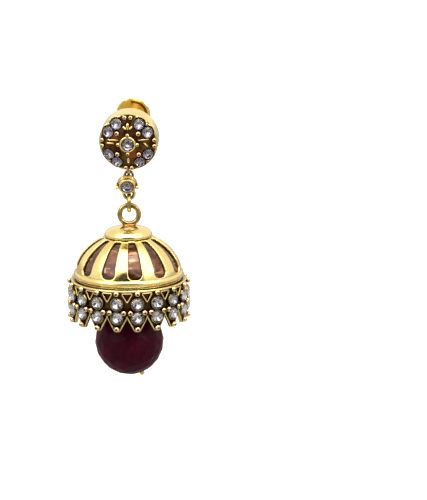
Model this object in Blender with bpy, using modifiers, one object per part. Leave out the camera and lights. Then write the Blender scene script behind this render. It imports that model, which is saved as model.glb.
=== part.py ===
"""Jhumka earring: a stone-set ear stud, a small jewelled link and a ribbed bell with a wine-red bead.

Metres, +Z up. The front of the earring faces -Y. The origin is on the ear post, where the lobe sits.
"""

import math

import bmesh
import bpy
from mathutils import Matrix, Vector

# Main size: the whole earring as worn. The link, bell, skirt and bead take their heights from it.
EARRING_LENGTH = 0.048

# Clearances
SEAT = 0.00012            # between pieces that rest on each other
STONE_FIT = 0.00012       # round a stone in its seat

# Cut stones, as shares of a stone's radius
STONE_TABLE = 0.58
STONE_CROWN = 0.34
STONE_GIRDLE = 0.10
STONE_PAVILION = 0.62

# Ear stud
STUD_RADIUS = 0.0050
STUD_DEPTH = 0.0038
STUD_EDGE = 0.0004        # rounding of the back edge
STUD_LIP = 0.0002         # rounding of the front edge
STUD_RISE = 0.0012        # the middle of the face above its rim
STUD_DROOP = math.radians(9.0)
STUD_YAW = math.radians(6.0)
STUD_STONE_RADIUS = 0.00095
STUD_STONE_CIRCLE = 0.00390
STUD_STONE_ANGLES = (30.0, 60.0, 120.0, 150.0, 210.0, 240.0, 300.0, 330.0)
CENTRE_STONE_RADIUS = 0.00105
COLLET_WALL = 0.00032
COLLET_RISE = 0.00045
COLLET_BALL_RADIUS = 0.00032
COLLET_BALL_CIRCLE = 0.00165
DIAGONAL_BALL_RADIUS = 0.00042
DIAGONAL_BALL_CIRCLE = 0.00255
RIM_PAIR_RADIUS = 0.00038
RIM_PAIR_CIRCLE = 0.00440
RIM_PAIR_SPREAD = 6.6     # degrees either side of the middle of a pair
RIM_BALL_RADIUS = 0.00028
RIM_BALL_CIRCLE = 0.00455
BALL_SHARE = 0.4           # a ball's middle above the face, as a share of its radius
STUD_STONE_SHARE = 0.22    # a stone's girdle above the face, as a share of its radius
CENTRE_STONE_SHARE = 0.75  # the middle stone's girdle, as a share of the collet's rise
LEAF_SHARE = 0.26         # as a share of a stone's radius

# Raised leaves between the pairs of stones, each a flattened bud on the face.
# Columns: degrees clockwise from the top, place from the middle as a share of the stone circle,
# degrees that it is turned, half length and half width as shares of a stone's radius.
LEAVES = (
    (0.0, 0.76, 0.0, 0.66, 0.24),
    (350.0, 0.70, 32.0, 0.44, 0.20),
    (10.0, 0.70, -32.0, 0.44, 0.20),
    (180.0, 0.80, 0.0, 0.62, 0.26),
    (82.0, 0.72, 20.0, 0.72, 0.17),
    (100.0, 0.80, -24.0, 0.60, 0.17),
    (278.0, 0.76, -20.0, 0.72, 0.17),
    (260.0, 0.76, 12.0, 0.66, 0.17),
)

# Post and nut
POST_RADIUS = 0.00040
POST_LENGTH = 0.0112
POST_HEIGHT = 0.0020      # above the middle of the stud
LOBE_GAP = 0.0053
NUT_RADIUS = 0.0030
NUT_PLATE = 0.00035
NUT_DISH = 0.00030
NUT_HEIGHT = 0.0026       # height of the two scrolled ears
SCROLL_RADIUS = 0.00105
SCROLL_END_RADIUS = 0.00050
SCROLL_TURNS = 1.35
SCROLL_WALL = 0.00028

# Hanging loops: radius is that of the wire's middle line
STUD_LOOP_RADIUS = 0.00062
STUD_LOOP_WIRE = 0.00050
STUD_LOOP_SETBACK = 0.00125
STUD_LOOP_SIDE = -0.00020
LINK_TOP_RADIUS = 0.00072
LINK_WIRE = 0.00050
LINK_BOTTOM_RADIUS = 0.00088
LINK_BOTTOM_WIRE = 0.00060
JUMP_RADIUS = 0.00140
JUMP_WIRE = 0.00072
RING_RADIUS = 0.00163
RING_WIRE = 0.00086
RING_SIDE = 0.0002        # the ring is soldered a little to the right of the bell's middle

# Jewelled link
LINK_LENGTH = EARRING_LENGTH * 0.099375  # between the wires' middles of its end loops
LINK_STONE_RADIUS = 0.00105
LINK_DROOP = math.radians(22.0)
LINK_FORWARD = 0.0015
LINK_CLEARANCE = 0.00005  # between the cup's lowest edge and the jump ring's top
LINK_STONE_SIDE = -0.0003
LINK_WALL = 0.00028
LINK_STEP = 0.00013
LINK_CUP_DEPTH = 0.0013
LINK_CUP_HEIGHTS = (-0.62, -0.62, 0.06, 0.06, -0.06, -0.38, -0.42, -0.68, -0.72, -1.0, -1.0)
LINK_BOSS_SHARE = 0.8     # how deep the boss starts, as a share of the cup's depth
LINK_STONE_SHARE = 0.12   # the stone's girdle above the cup's front, as a share of its radius
LINK_STEM_RADIUS = 0.00034
LINK_BOSS_RADIUS = 0.00070
PRONG_RADIUS = 0.00020
PRONG_BALL_RADIUS = 0.00032
PRONG_SPREAD = 0.00172
PRONG_SHARE = 0.85        # how deep a prong starts, as a share of the cup's depth
PRONG_SHANK_SHARE = 0.9   # its shank's length, as a share of the cup's depth
PRONG_BALL_SHARE = 0.3    # its ball's middle above the cup's front, as a share of the ball's radius

# Bell: heights are measured from the middle of its band
CAP_RADIUS = 0.00415
CAP_RISE = EARRING_LENGTH * 0.032917
CAP_LIP = 0.00028
CAP_CURVE = 0.85          # below 1 the cap's shoulder is fuller than a ball's
SOLDER_SHAPE = (1.35, 0.85, 0.42)  # of the blob under the ring, as shares of the ring's wire
RING_SINK = 0.2           # how far the ring's wire sinks into the cap, as a share of it
SOCKET_RADIUS = 0.00095
SOCKET_LENGTH = 0.0013
DOME_RADIUS = 0.00925
DOME_HEIGHT = EARRING_LENGTH * 0.151042
DOME_WALL = 0.00065
DOME_EYE_RADIUS = 0.0026
BAND_RADIUS = 0.00952
BAND_TOP = 0.00075
BAND_BOTTOM = 0.00060
BAND_WALL = 0.00085
SLIT_COUNT = 12
SLIT_SHARE = 0.51         # of the pitch
SLIT_FIRST = math.radians(7.0)
SLIT_BOTTOM = 0.00088
SLIT_ROUNDING = 0.0008
SLIT_TOP_RADIUS = 0.00432
SLIT_DEPTH_SHARE = 0.65   # of the dome's wall: the rest lines the slits

# Jewelled skirt
CELL_COUNT = 18
CELL_FIRST = math.radians(8.0)
SKIRT_RADIUS = 0.00990
SKIRT_WALL = 0.00055
SKIRT_HEIGHT = EARRING_LENGTH * 0.148958
SKIRT_RAIL = 0.00042
SKIRT_RAIL_PROUD = 0.00012
SKIRT_STONE_RADIUS = 0.00103
SKIRT_STONE_LIFT = 0.0003
UPPER_STONE_DROP = SKIRT_HEIGHT * 0.433566
LOWER_STONE_DROP = SKIRT_HEIGHT * 0.769231
BALL_RADIUS = 0.00050
BALL_CIRCLE = 0.01024
TOP_BALL_DROP = SKIRT_HEIGHT * 0.174825
MIDDLE_BALL_DROP = SKIRT_HEIGHT * 0.632168
MIDDLE_BALL_SPREAD = 0.00056
BOTTOM_BALL_DROP = SKIRT_HEIGHT * 1.027972
WINDOW_WIDTH = 0.0019
WINDOW_DEPTH_SHARE = 0.55  # of the skirt's wall
WINDOW_TIP_DROP = SKIRT_HEIGHT * 0.405594
NOTCH_TIP_DROP = SKIRT_HEIGHT * 0.755245
POINT_WIDTH = 0.00075

# Bead and its pin
BEAD_RADIUS = 0.0060
BEAD_DROP = EARRING_LENGTH * 0.25  # its middle below the middle of the band
BEAD_HOLE_RADIUS = 0.00060
BEAD_TILT = math.radians(20.0)
PIN_RADIUS = 0.00042
PIN_END = 0.00065         # how far the pin stands out below the bead
PIN_NECK = 0.0008         # straight length above the bead
PIN_STRAIGHT = 0.0012     # straight length below the socket
PIN_LOWER_PULL = 0.33     # how softly each end of the bend starts, as shares of its length
PIN_UPPER_PULL = 0.4

# Roundness
BALL_SIDES = 6
BALL_RINGS = 4
SKIRT_BALL_RINGS = 3
WIRE_SIDES = 6
ROD_SIDES = 12
BOSS_SIDES = 10
STEM_SIDES = 8
RING_STEPS = 16
STONE_SIDES = 8
CUP_STEPS = 16
CAP_STEPS = 22
DOME_STEPS = 48
DOME_ROWS = 7
SKIRT_STEPS = 36
STUD_STEPS = 28
BEAD_SIDES = 16
BEAD_ROWS = 10
PIN_STEPS = 9
SCROLL_STEPS = 11
CAP_ROWS = 6
CUTTER_REACH = 0.0030
WELD = 1e-6
FLAT = math.radians(0.4)   # faces closer than this in direction are one face
MILLIMETRES = 1000.0      # shapes are fused and cut at this scale, where single precision is ample


def clear_scene():
    for item in list(bpy.data.objects):
        bpy.data.objects.remove(item, do_unlink=True)


def new_collection(name):
    group = bpy.data.collections.new(name)
    bpy.context.scene.collection.children.link(group)
    return group


def material(name, colour, roughness, metallic, transmission=0.0):
    finish = bpy.data.materials.new(name)
    finish.use_nodes = True
    shader = finish.node_tree.nodes["Principled BSDF"]
    shader.inputs["Base Color"].default_value = (*colour, 1.0)
    shader.inputs["Roughness"].default_value = roughness
    shader.inputs["Metallic"].default_value = metallic
    shader.inputs["Transmission Weight"].default_value = transmission
    return finish


def turn_x(angle):
    return Matrix.Rotation(angle, 4, "X")


def turn_y(angle):
    return Matrix.Rotation(angle, 4, "Y")


def turn_z(angle):
    return Matrix.Rotation(angle, 4, "Z")


def at(x, y, z):
    return Matrix.Translation((x, y, z))


# Shapes as meshes

def evaluated_mesh(item):
    """The mesh that an object's modifiers or curve give. The object itself is removed."""
    graph = bpy.context.evaluated_depsgraph_get()
    mesh = bpy.data.meshes.new_from_object(item.evaluated_get(graph))
    bpy.data.objects.remove(item, do_unlink=True)
    shape = bmesh.new()
    shape.from_mesh(mesh)
    bmesh.ops.remove_doubles(shape, verts=shape.verts, dist=WELD)
    bmesh.ops.recalc_face_normals(shape, faces=shape.faces)
    shape.to_mesh(mesh)
    shape.free()
    return mesh


def turned(profile, steps):
    """A body turned about Z. A profile that doesn't start on the axis is a closed outline."""
    count = len(profile)
    edges = [(index, index + 1) for index in range(count - 1)]
    if profile[0][0] > 0.0:
        edges.append((count - 1, 0))
    mesh = bpy.data.meshes.new("profile")
    mesh.from_pydata([(radius, 0.0, height) for radius, height in profile], edges, [])
    item = bpy.data.objects.new("profile", mesh)
    bpy.context.scene.collection.objects.link(item)
    screw = item.modifiers.new("turn", "SCREW")
    screw.axis = "Z"
    screw.steps = steps
    screw.render_steps = steps
    screw.use_merge_vertices = True
    screw.merge_threshold = WELD
    result = evaluated_mesh(item)
    result.shade_smooth()
    result.set_sharp_from_angle(angle=math.radians(40.0))
    return result


def extruded(outline, thickness):
    """A flat outline in X and Y, with its thickness centred on Z."""
    curve = bpy.data.curves.new("outline", "CURVE")
    curve.dimensions = "2D"
    curve.fill_mode = "BOTH"
    curve.extrude = thickness / 2.0
    spline = curve.splines.new("POLY")
    spline.points.add(len(outline) - 1)
    for point, (x, y) in zip(spline.points, outline):
        point.co = (x, y, 0.0, 1.0)
    spline.use_cyclic_u = True
    item = bpy.data.objects.new("outline", curve)
    bpy.context.scene.collection.objects.link(item)
    return evaluated_mesh(item)


def wire_curve(points, radius):
    """A round wire along points, as a curve with closed ends."""
    curve = bpy.data.curves.new("wire", "CURVE")
    curve.dimensions = "3D"
    curve.bevel_depth = radius
    curve.bevel_resolution = (WIRE_SIDES - 4) // 2
    curve.use_fill_caps = True
    spline = curve.splines.new("POLY")
    spline.points.add(len(points) - 1)
    for point, place in zip(spline.points, points):
        point.co = (*place, 1.0)
    return curve


def ball(radius, sides=BALL_SIDES, rings=BALL_RINGS):
    mesh = bpy.data.meshes.new("ball")
    shape = bmesh.new()
    bmesh.ops.create_uvsphere(shape, u_segments=sides, v_segments=rings, radius=radius)
    shape.to_mesh(mesh)
    shape.free()
    mesh.shade_smooth()
    return mesh


def rod(radius, length, sides):
    """A round rod that stands on the origin along +Z."""
    mesh = bpy.data.meshes.new("rod")
    shape = bmesh.new()
    bmesh.ops.create_cone(
        shape, cap_ends=True, segments=sides, radius1=radius, radius2=radius, depth=length,
        matrix=at(0.0, 0.0, length / 2.0),
    )
    shape.to_mesh(mesh)
    shape.free()
    mesh.shade_smooth()
    mesh.set_sharp_from_angle(angle=math.radians(60.0))
    return mesh


def ring(radius, wire_width, steps=RING_STEPS):
    """A ring of round wire about Z. The radius is that of the wire's middle line."""
    angles = [2.0 * math.pi * (side + 0.5) / WIRE_SIDES for side in range(WIRE_SIDES)]
    half = wire_width / 2.0
    profile = [(radius + half * math.cos(a), -half * math.sin(a)) for a in angles]
    return turned(profile, steps)


def cut_stone(radius, base):
    """A stone with a table, crown and girdle. It ends at the base, or in a point if base is 0."""
    table = STONE_TABLE * radius
    crown = STONE_CROWN * radius
    girdle = STONE_GIRDLE * radius
    profile = [(0.0, crown), (table, crown), (radius, 0.0)]
    if base > 0.0:
        profile += [(radius, -base), (0.0, -base)]
    else:
        profile += [(radius, -girdle), (0.0, -girdle - STONE_PAVILION * radius)]
    stone = turned(profile, STONE_SIDES)
    stone.shade_flat()
    return stone


def joined(pieces):
    """One mesh of several, each given as a mesh and its place."""
    shape = bmesh.new()
    for mesh, place in pieces:
        before = len(shape.verts)
        shape.from_mesh(mesh)
        shape.verts.ensure_lookup_table()
        bmesh.ops.transform(shape, matrix=place, verts=shape.verts[before:])
    result = bpy.data.meshes.new("joined")
    shape.to_mesh(result)
    shape.free()
    return result


def enlarged(mesh):
    """A triangulated copy in millimetres, as an object."""
    copy = mesh.copy()
    copy.transform(Matrix.Scale(MILLIMETRES, 4))
    shape = bmesh.new()
    shape.from_mesh(copy)
    bmesh.ops.triangulate(shape, faces=shape.faces)
    shape.to_mesh(copy)
    shape.free()
    item = bpy.data.objects.new("enlarged", copy)
    bpy.context.scene.collection.objects.link(item)
    return item


def combined(mesh, operation, pieces):
    """The mesh with pieces fused to it or cut from it. Each piece is a mesh and its place."""
    body = enlarged(mesh)
    tool = enlarged(joined(pieces))
    step = body.modifiers.new(operation.lower(), "BOOLEAN")
    step.operation = operation
    step.solver = "EXACT"
    step.use_self = True
    step.object = tool
    graph = bpy.context.evaluated_depsgraph_get()
    result = bpy.data.meshes.new_from_object(body.evaluated_get(graph))
    bpy.data.objects.remove(body, do_unlink=True)
    bpy.data.objects.remove(tool, do_unlink=True)
    result.transform(Matrix.Scale(1.0 / MILLIMETRES, 4))
    shape = bmesh.new()
    shape.from_mesh(result)
    bmesh.ops.remove_doubles(shape, verts=shape.verts, dist=WELD)
    bmesh.ops.dissolve_degenerate(shape, edges=shape.edges, dist=WELD)
    bmesh.ops.dissolve_limit(shape, angle_limit=FLAT, verts=shape.verts, edges=shape.edges)
    bmesh.ops.triangulate(shape, faces=shape.faces)
    shape.to_mesh(result)
    shape.free()
    return result


def fused(mesh, pieces):
    return combined(mesh, "UNION", pieces)


def cut(mesh, pieces):
    return combined(mesh, "DIFFERENCE", pieces)


# Objects

def add_frame(name, place, parent=None):
    """An empty that carries the pieces of one part of the earring."""
    frame = bpy.data.objects.new(name, None)
    frame.empty_display_size = 0.004
    frame.parent = parent
    frame.matrix_local = place
    PARTS.objects.link(frame)
    return frame


def add_part(name, data, finish, parent, place=Matrix()):
    part = bpy.data.objects.new(name, data)
    part.data.name = name
    part.data.materials.clear()
    part.data.materials.append(finish)
    part.parent = parent
    part.matrix_local = place
    PARTS.objects.link(part)
    return part


# Ear stud

def face_height(radius):
    """Height of the stud's domed face above its rim plane."""
    return STUD_RISE * (1.0 - (radius / STUD_RADIUS) ** 2)


def on_face(degrees, radius, lift=0.0):
    """A place on the stud's face, turned to stand square on it. Degrees run clockwise from the top."""
    slope = math.atan(2.0 * STUD_RISE * radius / STUD_RADIUS ** 2)
    around = turn_z(-math.radians(degrees))
    return around @ at(0.0, radius, face_height(radius) + lift) @ turn_x(-slope)


def stud_body():
    face_radii = [STUD_RADIUS * share for share in (0.0, 0.35, 0.6, 0.8, 0.92)]
    profile = [(radius, face_height(radius)) for radius in face_radii]
    profile += [
        (STUD_RADIUS - STUD_LIP / 2.0, STUD_LIP / 2.0),
        (STUD_RADIUS, -STUD_LIP),
        (STUD_RADIUS, -STUD_DEPTH + 2.0 * STUD_EDGE),
        (STUD_RADIUS - STUD_EDGE / 2.0, -STUD_DEPTH + STUD_EDGE / 2.0),
        (STUD_RADIUS - 2.0 * STUD_EDGE, -STUD_DEPTH),
        (0.0, -STUD_DEPTH),
    ]
    return turned(profile, STUD_STEPS)


def collet():
    inner = CENTRE_STONE_RADIUS + STONE_FIT
    outer = inner + COLLET_WALL
    top = STUD_RISE + COLLET_RISE
    bottom = STUD_RISE - COLLET_RISE
    chamfer = top - COLLET_WALL / 2.0
    return turned([(inner, top), (outer, chamfer), (outer, bottom), (inner, bottom)], RING_STEPS)


def stud_ornaments():
    """Prong balls, rim balls and leaves, each with its place on the face."""
    pieces = []
    collet_ball = ball(COLLET_BALL_RADIUS)
    diagonal_ball = ball(DIAGONAL_BALL_RADIUS)
    pair_ball = ball(RIM_PAIR_RADIUS)
    rim_ball = ball(RIM_BALL_RADIUS)
    for quarter in (0.0, 90.0, 180.0, 270.0):
        diagonal = quarter + 45.0
        lift = DIAGONAL_BALL_RADIUS * BALL_SHARE
        pieces.append((collet_ball, on_face(quarter, COLLET_BALL_CIRCLE, COLLET_RISE)))
        pieces.append((diagonal_ball, on_face(diagonal, DIAGONAL_BALL_CIRCLE, lift)))
        pieces.append((rim_ball, on_face(diagonal, RIM_BALL_CIRCLE, RIM_BALL_RADIUS * BALL_SHARE)))
        for side in (-RIM_PAIR_SPREAD, RIM_PAIR_SPREAD):
            place = on_face(quarter + side, RIM_PAIR_CIRCLE, RIM_PAIR_RADIUS * BALL_SHARE)
            pieces.append((pair_ball, place))
    bud = ball(STUD_STONE_RADIUS)
    for degrees, share, turn, length, width in LEAVES:
        place = on_face(degrees, STUD_STONE_CIRCLE * share) @ turn_z(math.radians(turn))
        pieces.append((bud, place @ Matrix.Diagonal((width, length, LEAF_SHARE, 1.0))))
    return pieces


def stud_stone_place(degrees):
    return on_face(degrees, STUD_STONE_CIRCLE, STUD_STONE_RADIUS * STUD_STONE_SHARE)


def centre_stone_place():
    return at(0.0, 0.0, STUD_RISE + COLLET_RISE * CENTRE_STONE_SHARE)


def stud_seats():
    """Pockets that hold the stud's stones."""
    seat_depth = STUD_STONE_RADIUS
    down = at(0.0, 0.0, -seat_depth)
    seat = rod(STUD_STONE_RADIUS + STONE_FIT, seat_depth + CUTTER_REACH, ROD_SIDES)
    centre_seat = rod(CENTRE_STONE_RADIUS + STONE_FIT, seat_depth + CUTTER_REACH, RING_STEPS)
    pieces = [(seat, stud_stone_place(degrees) @ down) for degrees in STUD_STONE_ANGLES]
    pieces.append((centre_seat, centre_stone_place() @ down))
    return pieces


def build_stud(frame):
    setting = fused(stud_body(), [(collet(), Matrix())])
    post = rod(POST_RADIUS, POST_LENGTH + STUD_DEPTH / 2.0, ROD_SIDES)
    upright = frame.matrix_local.to_3x3().inverted().to_4x4()
    loop_place = at(STUD_LOOP_SIDE, -STUD_RADIUS, -STUD_LOOP_SETBACK) @ upright
    loop_place = loop_place @ at(0.0, 0.0, -STUD_LOOP_RADIUS) @ turn_y(math.pi / 2.0)
    fixed = [
        (post, at(0.0, POST_HEIGHT, -STUD_DEPTH / 2.0) @ turn_x(math.pi)),
        (ring(STUD_LOOP_RADIUS, STUD_LOOP_WIRE), loop_place),
    ]
    setting = cut(fused(setting, stud_ornaments() + fixed), stud_seats())
    add_part("stud_setting", setting, GOLD, frame)
    centre_stone = cut_stone(CENTRE_STONE_RADIUS, 0.0)
    add_part("stud_centre_stone", centre_stone, CLEAR_STONE, frame, centre_stone_place())
    outer_stone = cut_stone(STUD_STONE_RADIUS, 0.0)
    for number, degrees in enumerate(STUD_STONE_ANGLES, 1):
        add_part("stud_stone_%d" % number, outer_stone, CLEAR_STONE, frame, stud_stone_place(degrees))


# Ear nut

def scroll_outline():
    """A strip curled about its centre, from the plate outwards and back in towards the post."""
    outer = []
    inner = []
    for step in range(SCROLL_STEPS + 1):
        share = step / SCROLL_STEPS
        angle = math.pi / 2.0 - share * SCROLL_TURNS * 2.0 * math.pi
        radius = SCROLL_RADIUS + (SCROLL_END_RADIUS - SCROLL_RADIUS) * share
        outer.append((radius * math.cos(angle), radius * math.sin(angle)))
        inner_radius = radius - SCROLL_WALL
        inner.append((inner_radius * math.cos(angle), inner_radius * math.sin(angle)))
    return outer + inner[::-1]


def build_nut(frame):
    hole = POST_RADIUS + SEAT
    profile = [
        (hole, -NUT_DISH),
        (NUT_RADIUS * 0.7, -NUT_DISH),
        (NUT_RADIUS, 0.0),
        (NUT_RADIUS, -NUT_PLATE),
        (NUT_RADIUS * 0.7, -NUT_DISH - NUT_PLATE),
        (hole, -NUT_DISH - NUT_PLATE),
    ]
    place = at(0.0, POST_HEIGHT, -STUD_DEPTH - LOBE_GAP)
    scroll = extruded(scroll_outline(), NUT_HEIGHT)
    depth = -NUT_DISH - NUT_PLATE / 2.0 - SCROLL_RADIUS
    right = at(hole + SCROLL_RADIUS, 0.0, depth) @ turn_x(math.pi / 2.0)
    left = turn_z(math.pi) @ right
    nut = fused(turned(profile, CUP_STEPS), [(scroll, right), (scroll, left)])
    add_part("ear_nut", nut, GOLD, frame, place)


# Jewelled link: its frame is at the middle of the wire at the top of its upper loop

def link_cup_radius():
    """Outer radius of the cup's widest step."""
    return LINK_STONE_RADIUS + STONE_FIT + LINK_WALL + 2.0 * LINK_STEP


def link_stone_drop():
    """The stone's middle below the top of the link, where the cup clears the jump ring."""
    reach = link_cup_radius() * math.cos(LINK_DROOP) - LINK_CUP_DEPTH * math.sin(LINK_DROOP)
    jump_top = LINK_LENGTH - LINK_BOTTOM_WIRE / 2.0 - SEAT - JUMP_WIRE
    return jump_top - LINK_CLEARANCE - reach


def link_cup():
    """A stepped cup: a narrow wall round the stone and two wider steps behind it."""
    inner = LINK_STONE_RADIUS + STONE_FIT
    front = inner + LINK_WALL
    middle = front + LINK_STEP
    back = link_cup_radius()
    radii = (0.0, inner, inner, front - LINK_WALL / 2.0, front, front, middle, middle, back, back, 0.0)
    profile = [(radius, LINK_CUP_DEPTH * share) for radius, share in zip(radii, LINK_CUP_HEIGHTS)]
    return turned(profile, CUP_STEPS)


def build_link(frame):
    cup_place = (
        at(LINK_STONE_SIDE, -LINK_FORWARD, -link_stone_drop()) @ turn_x(math.pi / 2.0 + LINK_DROOP)
    )
    upright = turn_x(math.pi / 2.0)
    back = turn_x(math.pi)
    bottom_loop_z = -LINK_LENGTH + LINK_BOTTOM_RADIUS
    stem_bottom = bottom_loop_z + LINK_BOTTOM_RADIUS
    stem_top = -2.0 * LINK_TOP_RADIUS
    boss_start = LINK_CUP_DEPTH * LINK_BOSS_SHARE
    boss_length = LINK_FORWARD / math.cos(LINK_DROOP) - boss_start + LINK_STEM_RADIUS
    loops = [
        (ring(LINK_TOP_RADIUS, LINK_WIRE), at(0.0, 0.0, -LINK_TOP_RADIUS) @ upright),
        (ring(LINK_BOTTOM_RADIUS, LINK_BOTTOM_WIRE), at(0.0, 0.0, bottom_loop_z) @ upright),
        (rod(LINK_STEM_RADIUS, stem_top - stem_bottom, STEM_SIDES), at(0.0, 0.0, stem_bottom)),
        (rod(LINK_BOSS_RADIUS, boss_length, BOSS_SIDES), cup_place @ at(0.0, 0.0, -boss_start) @ back),
    ]
    setting = fused(joined([(link_cup(), cup_place)]), loops)
    prongs = []
    shank = rod(PRONG_RADIUS, LINK_CUP_DEPTH * PRONG_SHANK_SHARE, WIRE_SIDES)
    tip = ball(PRONG_BALL_RADIUS)
    for side in (-1.0, 1.0):
        foot = at(side * PRONG_SPREAD, 0.0, -LINK_CUP_DEPTH * PRONG_SHARE)
        prongs.append((shank, cup_place @ foot))
        prongs.append((tip, cup_place @ at(side * PRONG_SPREAD, 0.0, PRONG_BALL_RADIUS * PRONG_BALL_SHARE)))
    add_part("link_setting", fused(setting, prongs), GOLD, frame)
    stone_place = cup_place @ at(0.0, 0.0, LINK_STONE_RADIUS * LINK_STONE_SHARE)
    add_part("link_stone", cut_stone(LINK_STONE_RADIUS, 0.0), CLEAR_STONE, frame, stone_place)
    jump_z = -LINK_LENGTH + LINK_BOTTOM_WIRE / 2.0 + SEAT + JUMP_WIRE / 2.0 - JUMP_RADIUS
    jump_place = at(0.0, 0.0, jump_z) @ turn_y(math.pi / 2.0)
    add_part("jump_ring", ring(JUMP_RADIUS, JUMP_WIRE), GOLD, frame, jump_place)
    return jump_z - JUMP_RADIUS


# Bell cap

def dome_outer(radius):
    """Height of the dome's outer surface at a radius."""
    return DOME_HEIGHT * math.sqrt(1.0 - (radius / DOME_RADIUS) ** 2)


def cap_top():
    return cap_foot() + CAP_RISE


def cap_foot():
    return dome_outer(CAP_RADIUS) + SEAT + CAP_LIP


def ring_height():
    """Middle of the ring on the cap."""
    return cap_top() + RING_RADIUS + RING_WIRE * (0.5 - RING_SINK)


def build_cap(frame, place):
    foot = cap_foot()
    profile = [(0.0, cap_top())]
    for step in range(1, CAP_ROWS + 1):
        angle = step / CAP_ROWS * math.pi / 2.0
        profile.append((CAP_RADIUS * math.sin(angle) ** CAP_CURVE, foot + CAP_RISE * math.cos(angle)))
    seat = dome_outer(CAP_RADIUS - CAP_LIP) + SEAT
    eye = dome_outer(DOME_EYE_RADIUS) + SEAT
    socket_hole = PIN_RADIUS + SEAT
    profile += [
        (CAP_RADIUS - CAP_LIP / 2.0, foot - CAP_LIP),
        (CAP_RADIUS - CAP_LIP, seat),
        (DOME_EYE_RADIUS - SEAT, eye),
        (SOCKET_RADIUS, eye),
        (SOCKET_RADIUS, eye - SOCKET_LENGTH),
        (socket_hole, eye - SOCKET_LENGTH),
        (socket_hole, eye + 2.0 * SEAT),
        (0.0, eye + 2.0 * SEAT),
    ]
    ring_place = at(RING_SIDE, 0.0, ring_height()) @ turn_x(math.pi / 2.0)
    blob = ball(RING_WIRE, STEM_SIDES, BALL_RINGS)
    blob_place = at(RING_SIDE, 0.0, cap_top()) @ Matrix.Diagonal((*SOLDER_SHAPE, 1.0))
    solder = [(ring(RING_RADIUS, RING_WIRE), ring_place), (blob, blob_place)]
    add_part("bell_cap", fused(turned(profile, CAP_STEPS), solder), GOLD, frame, place)


# Ribbed dome

def dome_profile():
    """Closed outline: down the outside, round the band, and up the inside."""
    profile = []
    band_start = math.asin(BAND_TOP / DOME_HEIGHT)
    eye_angle = math.acos(DOME_EYE_RADIUS / DOME_RADIUS)
    for row in range(DOME_ROWS):
        angle = eye_angle + (band_start - eye_angle) * row / (DOME_ROWS - 1)
        profile.append((DOME_RADIUS * math.cos(angle), DOME_HEIGHT * math.sin(angle)))
    bulge = BAND_RADIUS - DOME_RADIUS
    profile += [
        (BAND_RADIUS - 0.35 * bulge, 0.72 * BAND_TOP),
        (BAND_RADIUS, 0.25 * BAND_TOP),
        (BAND_RADIUS, -0.35 * BAND_BOTTOM),
        (BAND_RADIUS - bulge, -BAND_BOTTOM),
        (BAND_RADIUS - BAND_WALL, -BAND_BOTTOM),
        (BAND_RADIUS - BAND_WALL, 0.0),
    ]
    inner_radius = DOME_RADIUS - DOME_WALL
    inner_height = DOME_HEIGHT - DOME_WALL
    inner_eye = math.acos(DOME_EYE_RADIUS / inner_radius)
    for row in range(1, DOME_ROWS - 1):
        angle = inner_eye * row / (DOME_ROWS - 2)
        profile.append((inner_radius * math.cos(angle), inner_height * math.sin(angle)))
    return profile


def slit():
    """A wedge that widens with the radius, with its two lower edges rounded."""
    half = SLIT_SHARE * math.pi / SLIT_COUNT
    far = DOME_RADIUS + CUTTER_REACH
    outline = [
        (-SLIT_TOP_RADIUS * math.sin(half), -SLIT_TOP_RADIUS * math.cos(half)),
        (-far * math.sin(half), -far * math.cos(half)),
        (far * math.sin(half), -far * math.cos(half)),
        (SLIT_TOP_RADIUS * math.sin(half), -SLIT_TOP_RADIUS * math.cos(half)),
    ]
    height = DOME_HEIGHT
    mesh = joined([(extruded(outline, height), at(0.0, 0.0, SLIT_BOTTOM + height / 2.0))])
    shape = bmesh.new()
    shape.from_mesh(mesh)
    low = [
        edge for edge in shape.edges
        if all(abs(vert.co.z - SLIT_BOTTOM) < 1e-6 for vert in edge.verts)
        and abs(edge.verts[0].co.x) != abs(edge.verts[1].co.x)
        and edge.verts[0].co.x * edge.verts[1].co.x > 0.0
        and abs(edge.verts[0].co.y - edge.verts[1].co.y) > CUTTER_REACH
    ]
    bmesh.ops.bevel(shape, geom=low, offset=SLIT_ROUNDING, segments=3, profile=0.5, affect="EDGES")
    shape.to_mesh(mesh)
    shape.free()
    return mesh


def slit_floor():
    """All that lies deeper than the slits, from the band's middle up."""
    radius = DOME_RADIUS - SLIT_DEPTH_SHARE * DOME_WALL
    height = DOME_HEIGHT - SLIT_DEPTH_SHARE * DOME_WALL
    profile = [(0.0, height)]
    for row in range(1, DOME_ROWS + 2):
        angle = math.pi / 2.0 * row / (DOME_ROWS + 1)
        profile.append((radius * math.sin(angle), height * math.cos(angle)))
    profile.append((0.0, 0.0))
    return turned(profile, DOME_STEPS)


def build_dome(frame, place):
    wedge = slit()
    pitch = 2.0 * math.pi / SLIT_COUNT
    wedges = [(wedge, turn_z(SLIT_FIRST + pitch * index)) for index in range(SLIT_COUNT)]
    slits = cut(joined(wedges), [(slit_floor(), Matrix())])
    add_part("dome", cut(turned(dome_profile(), DOME_STEPS), [(slits, Matrix())]), GOLD, frame, place)


# Jewelled skirt: an angle of 0 is the front, and angles grow to the right

def around(angle, radius, height):
    """A place on the skirt with +Z pointing outwards and +Y up."""
    return turn_z(angle) @ at(0.0, -radius, height) @ turn_x(math.pi / 2.0)


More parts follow.
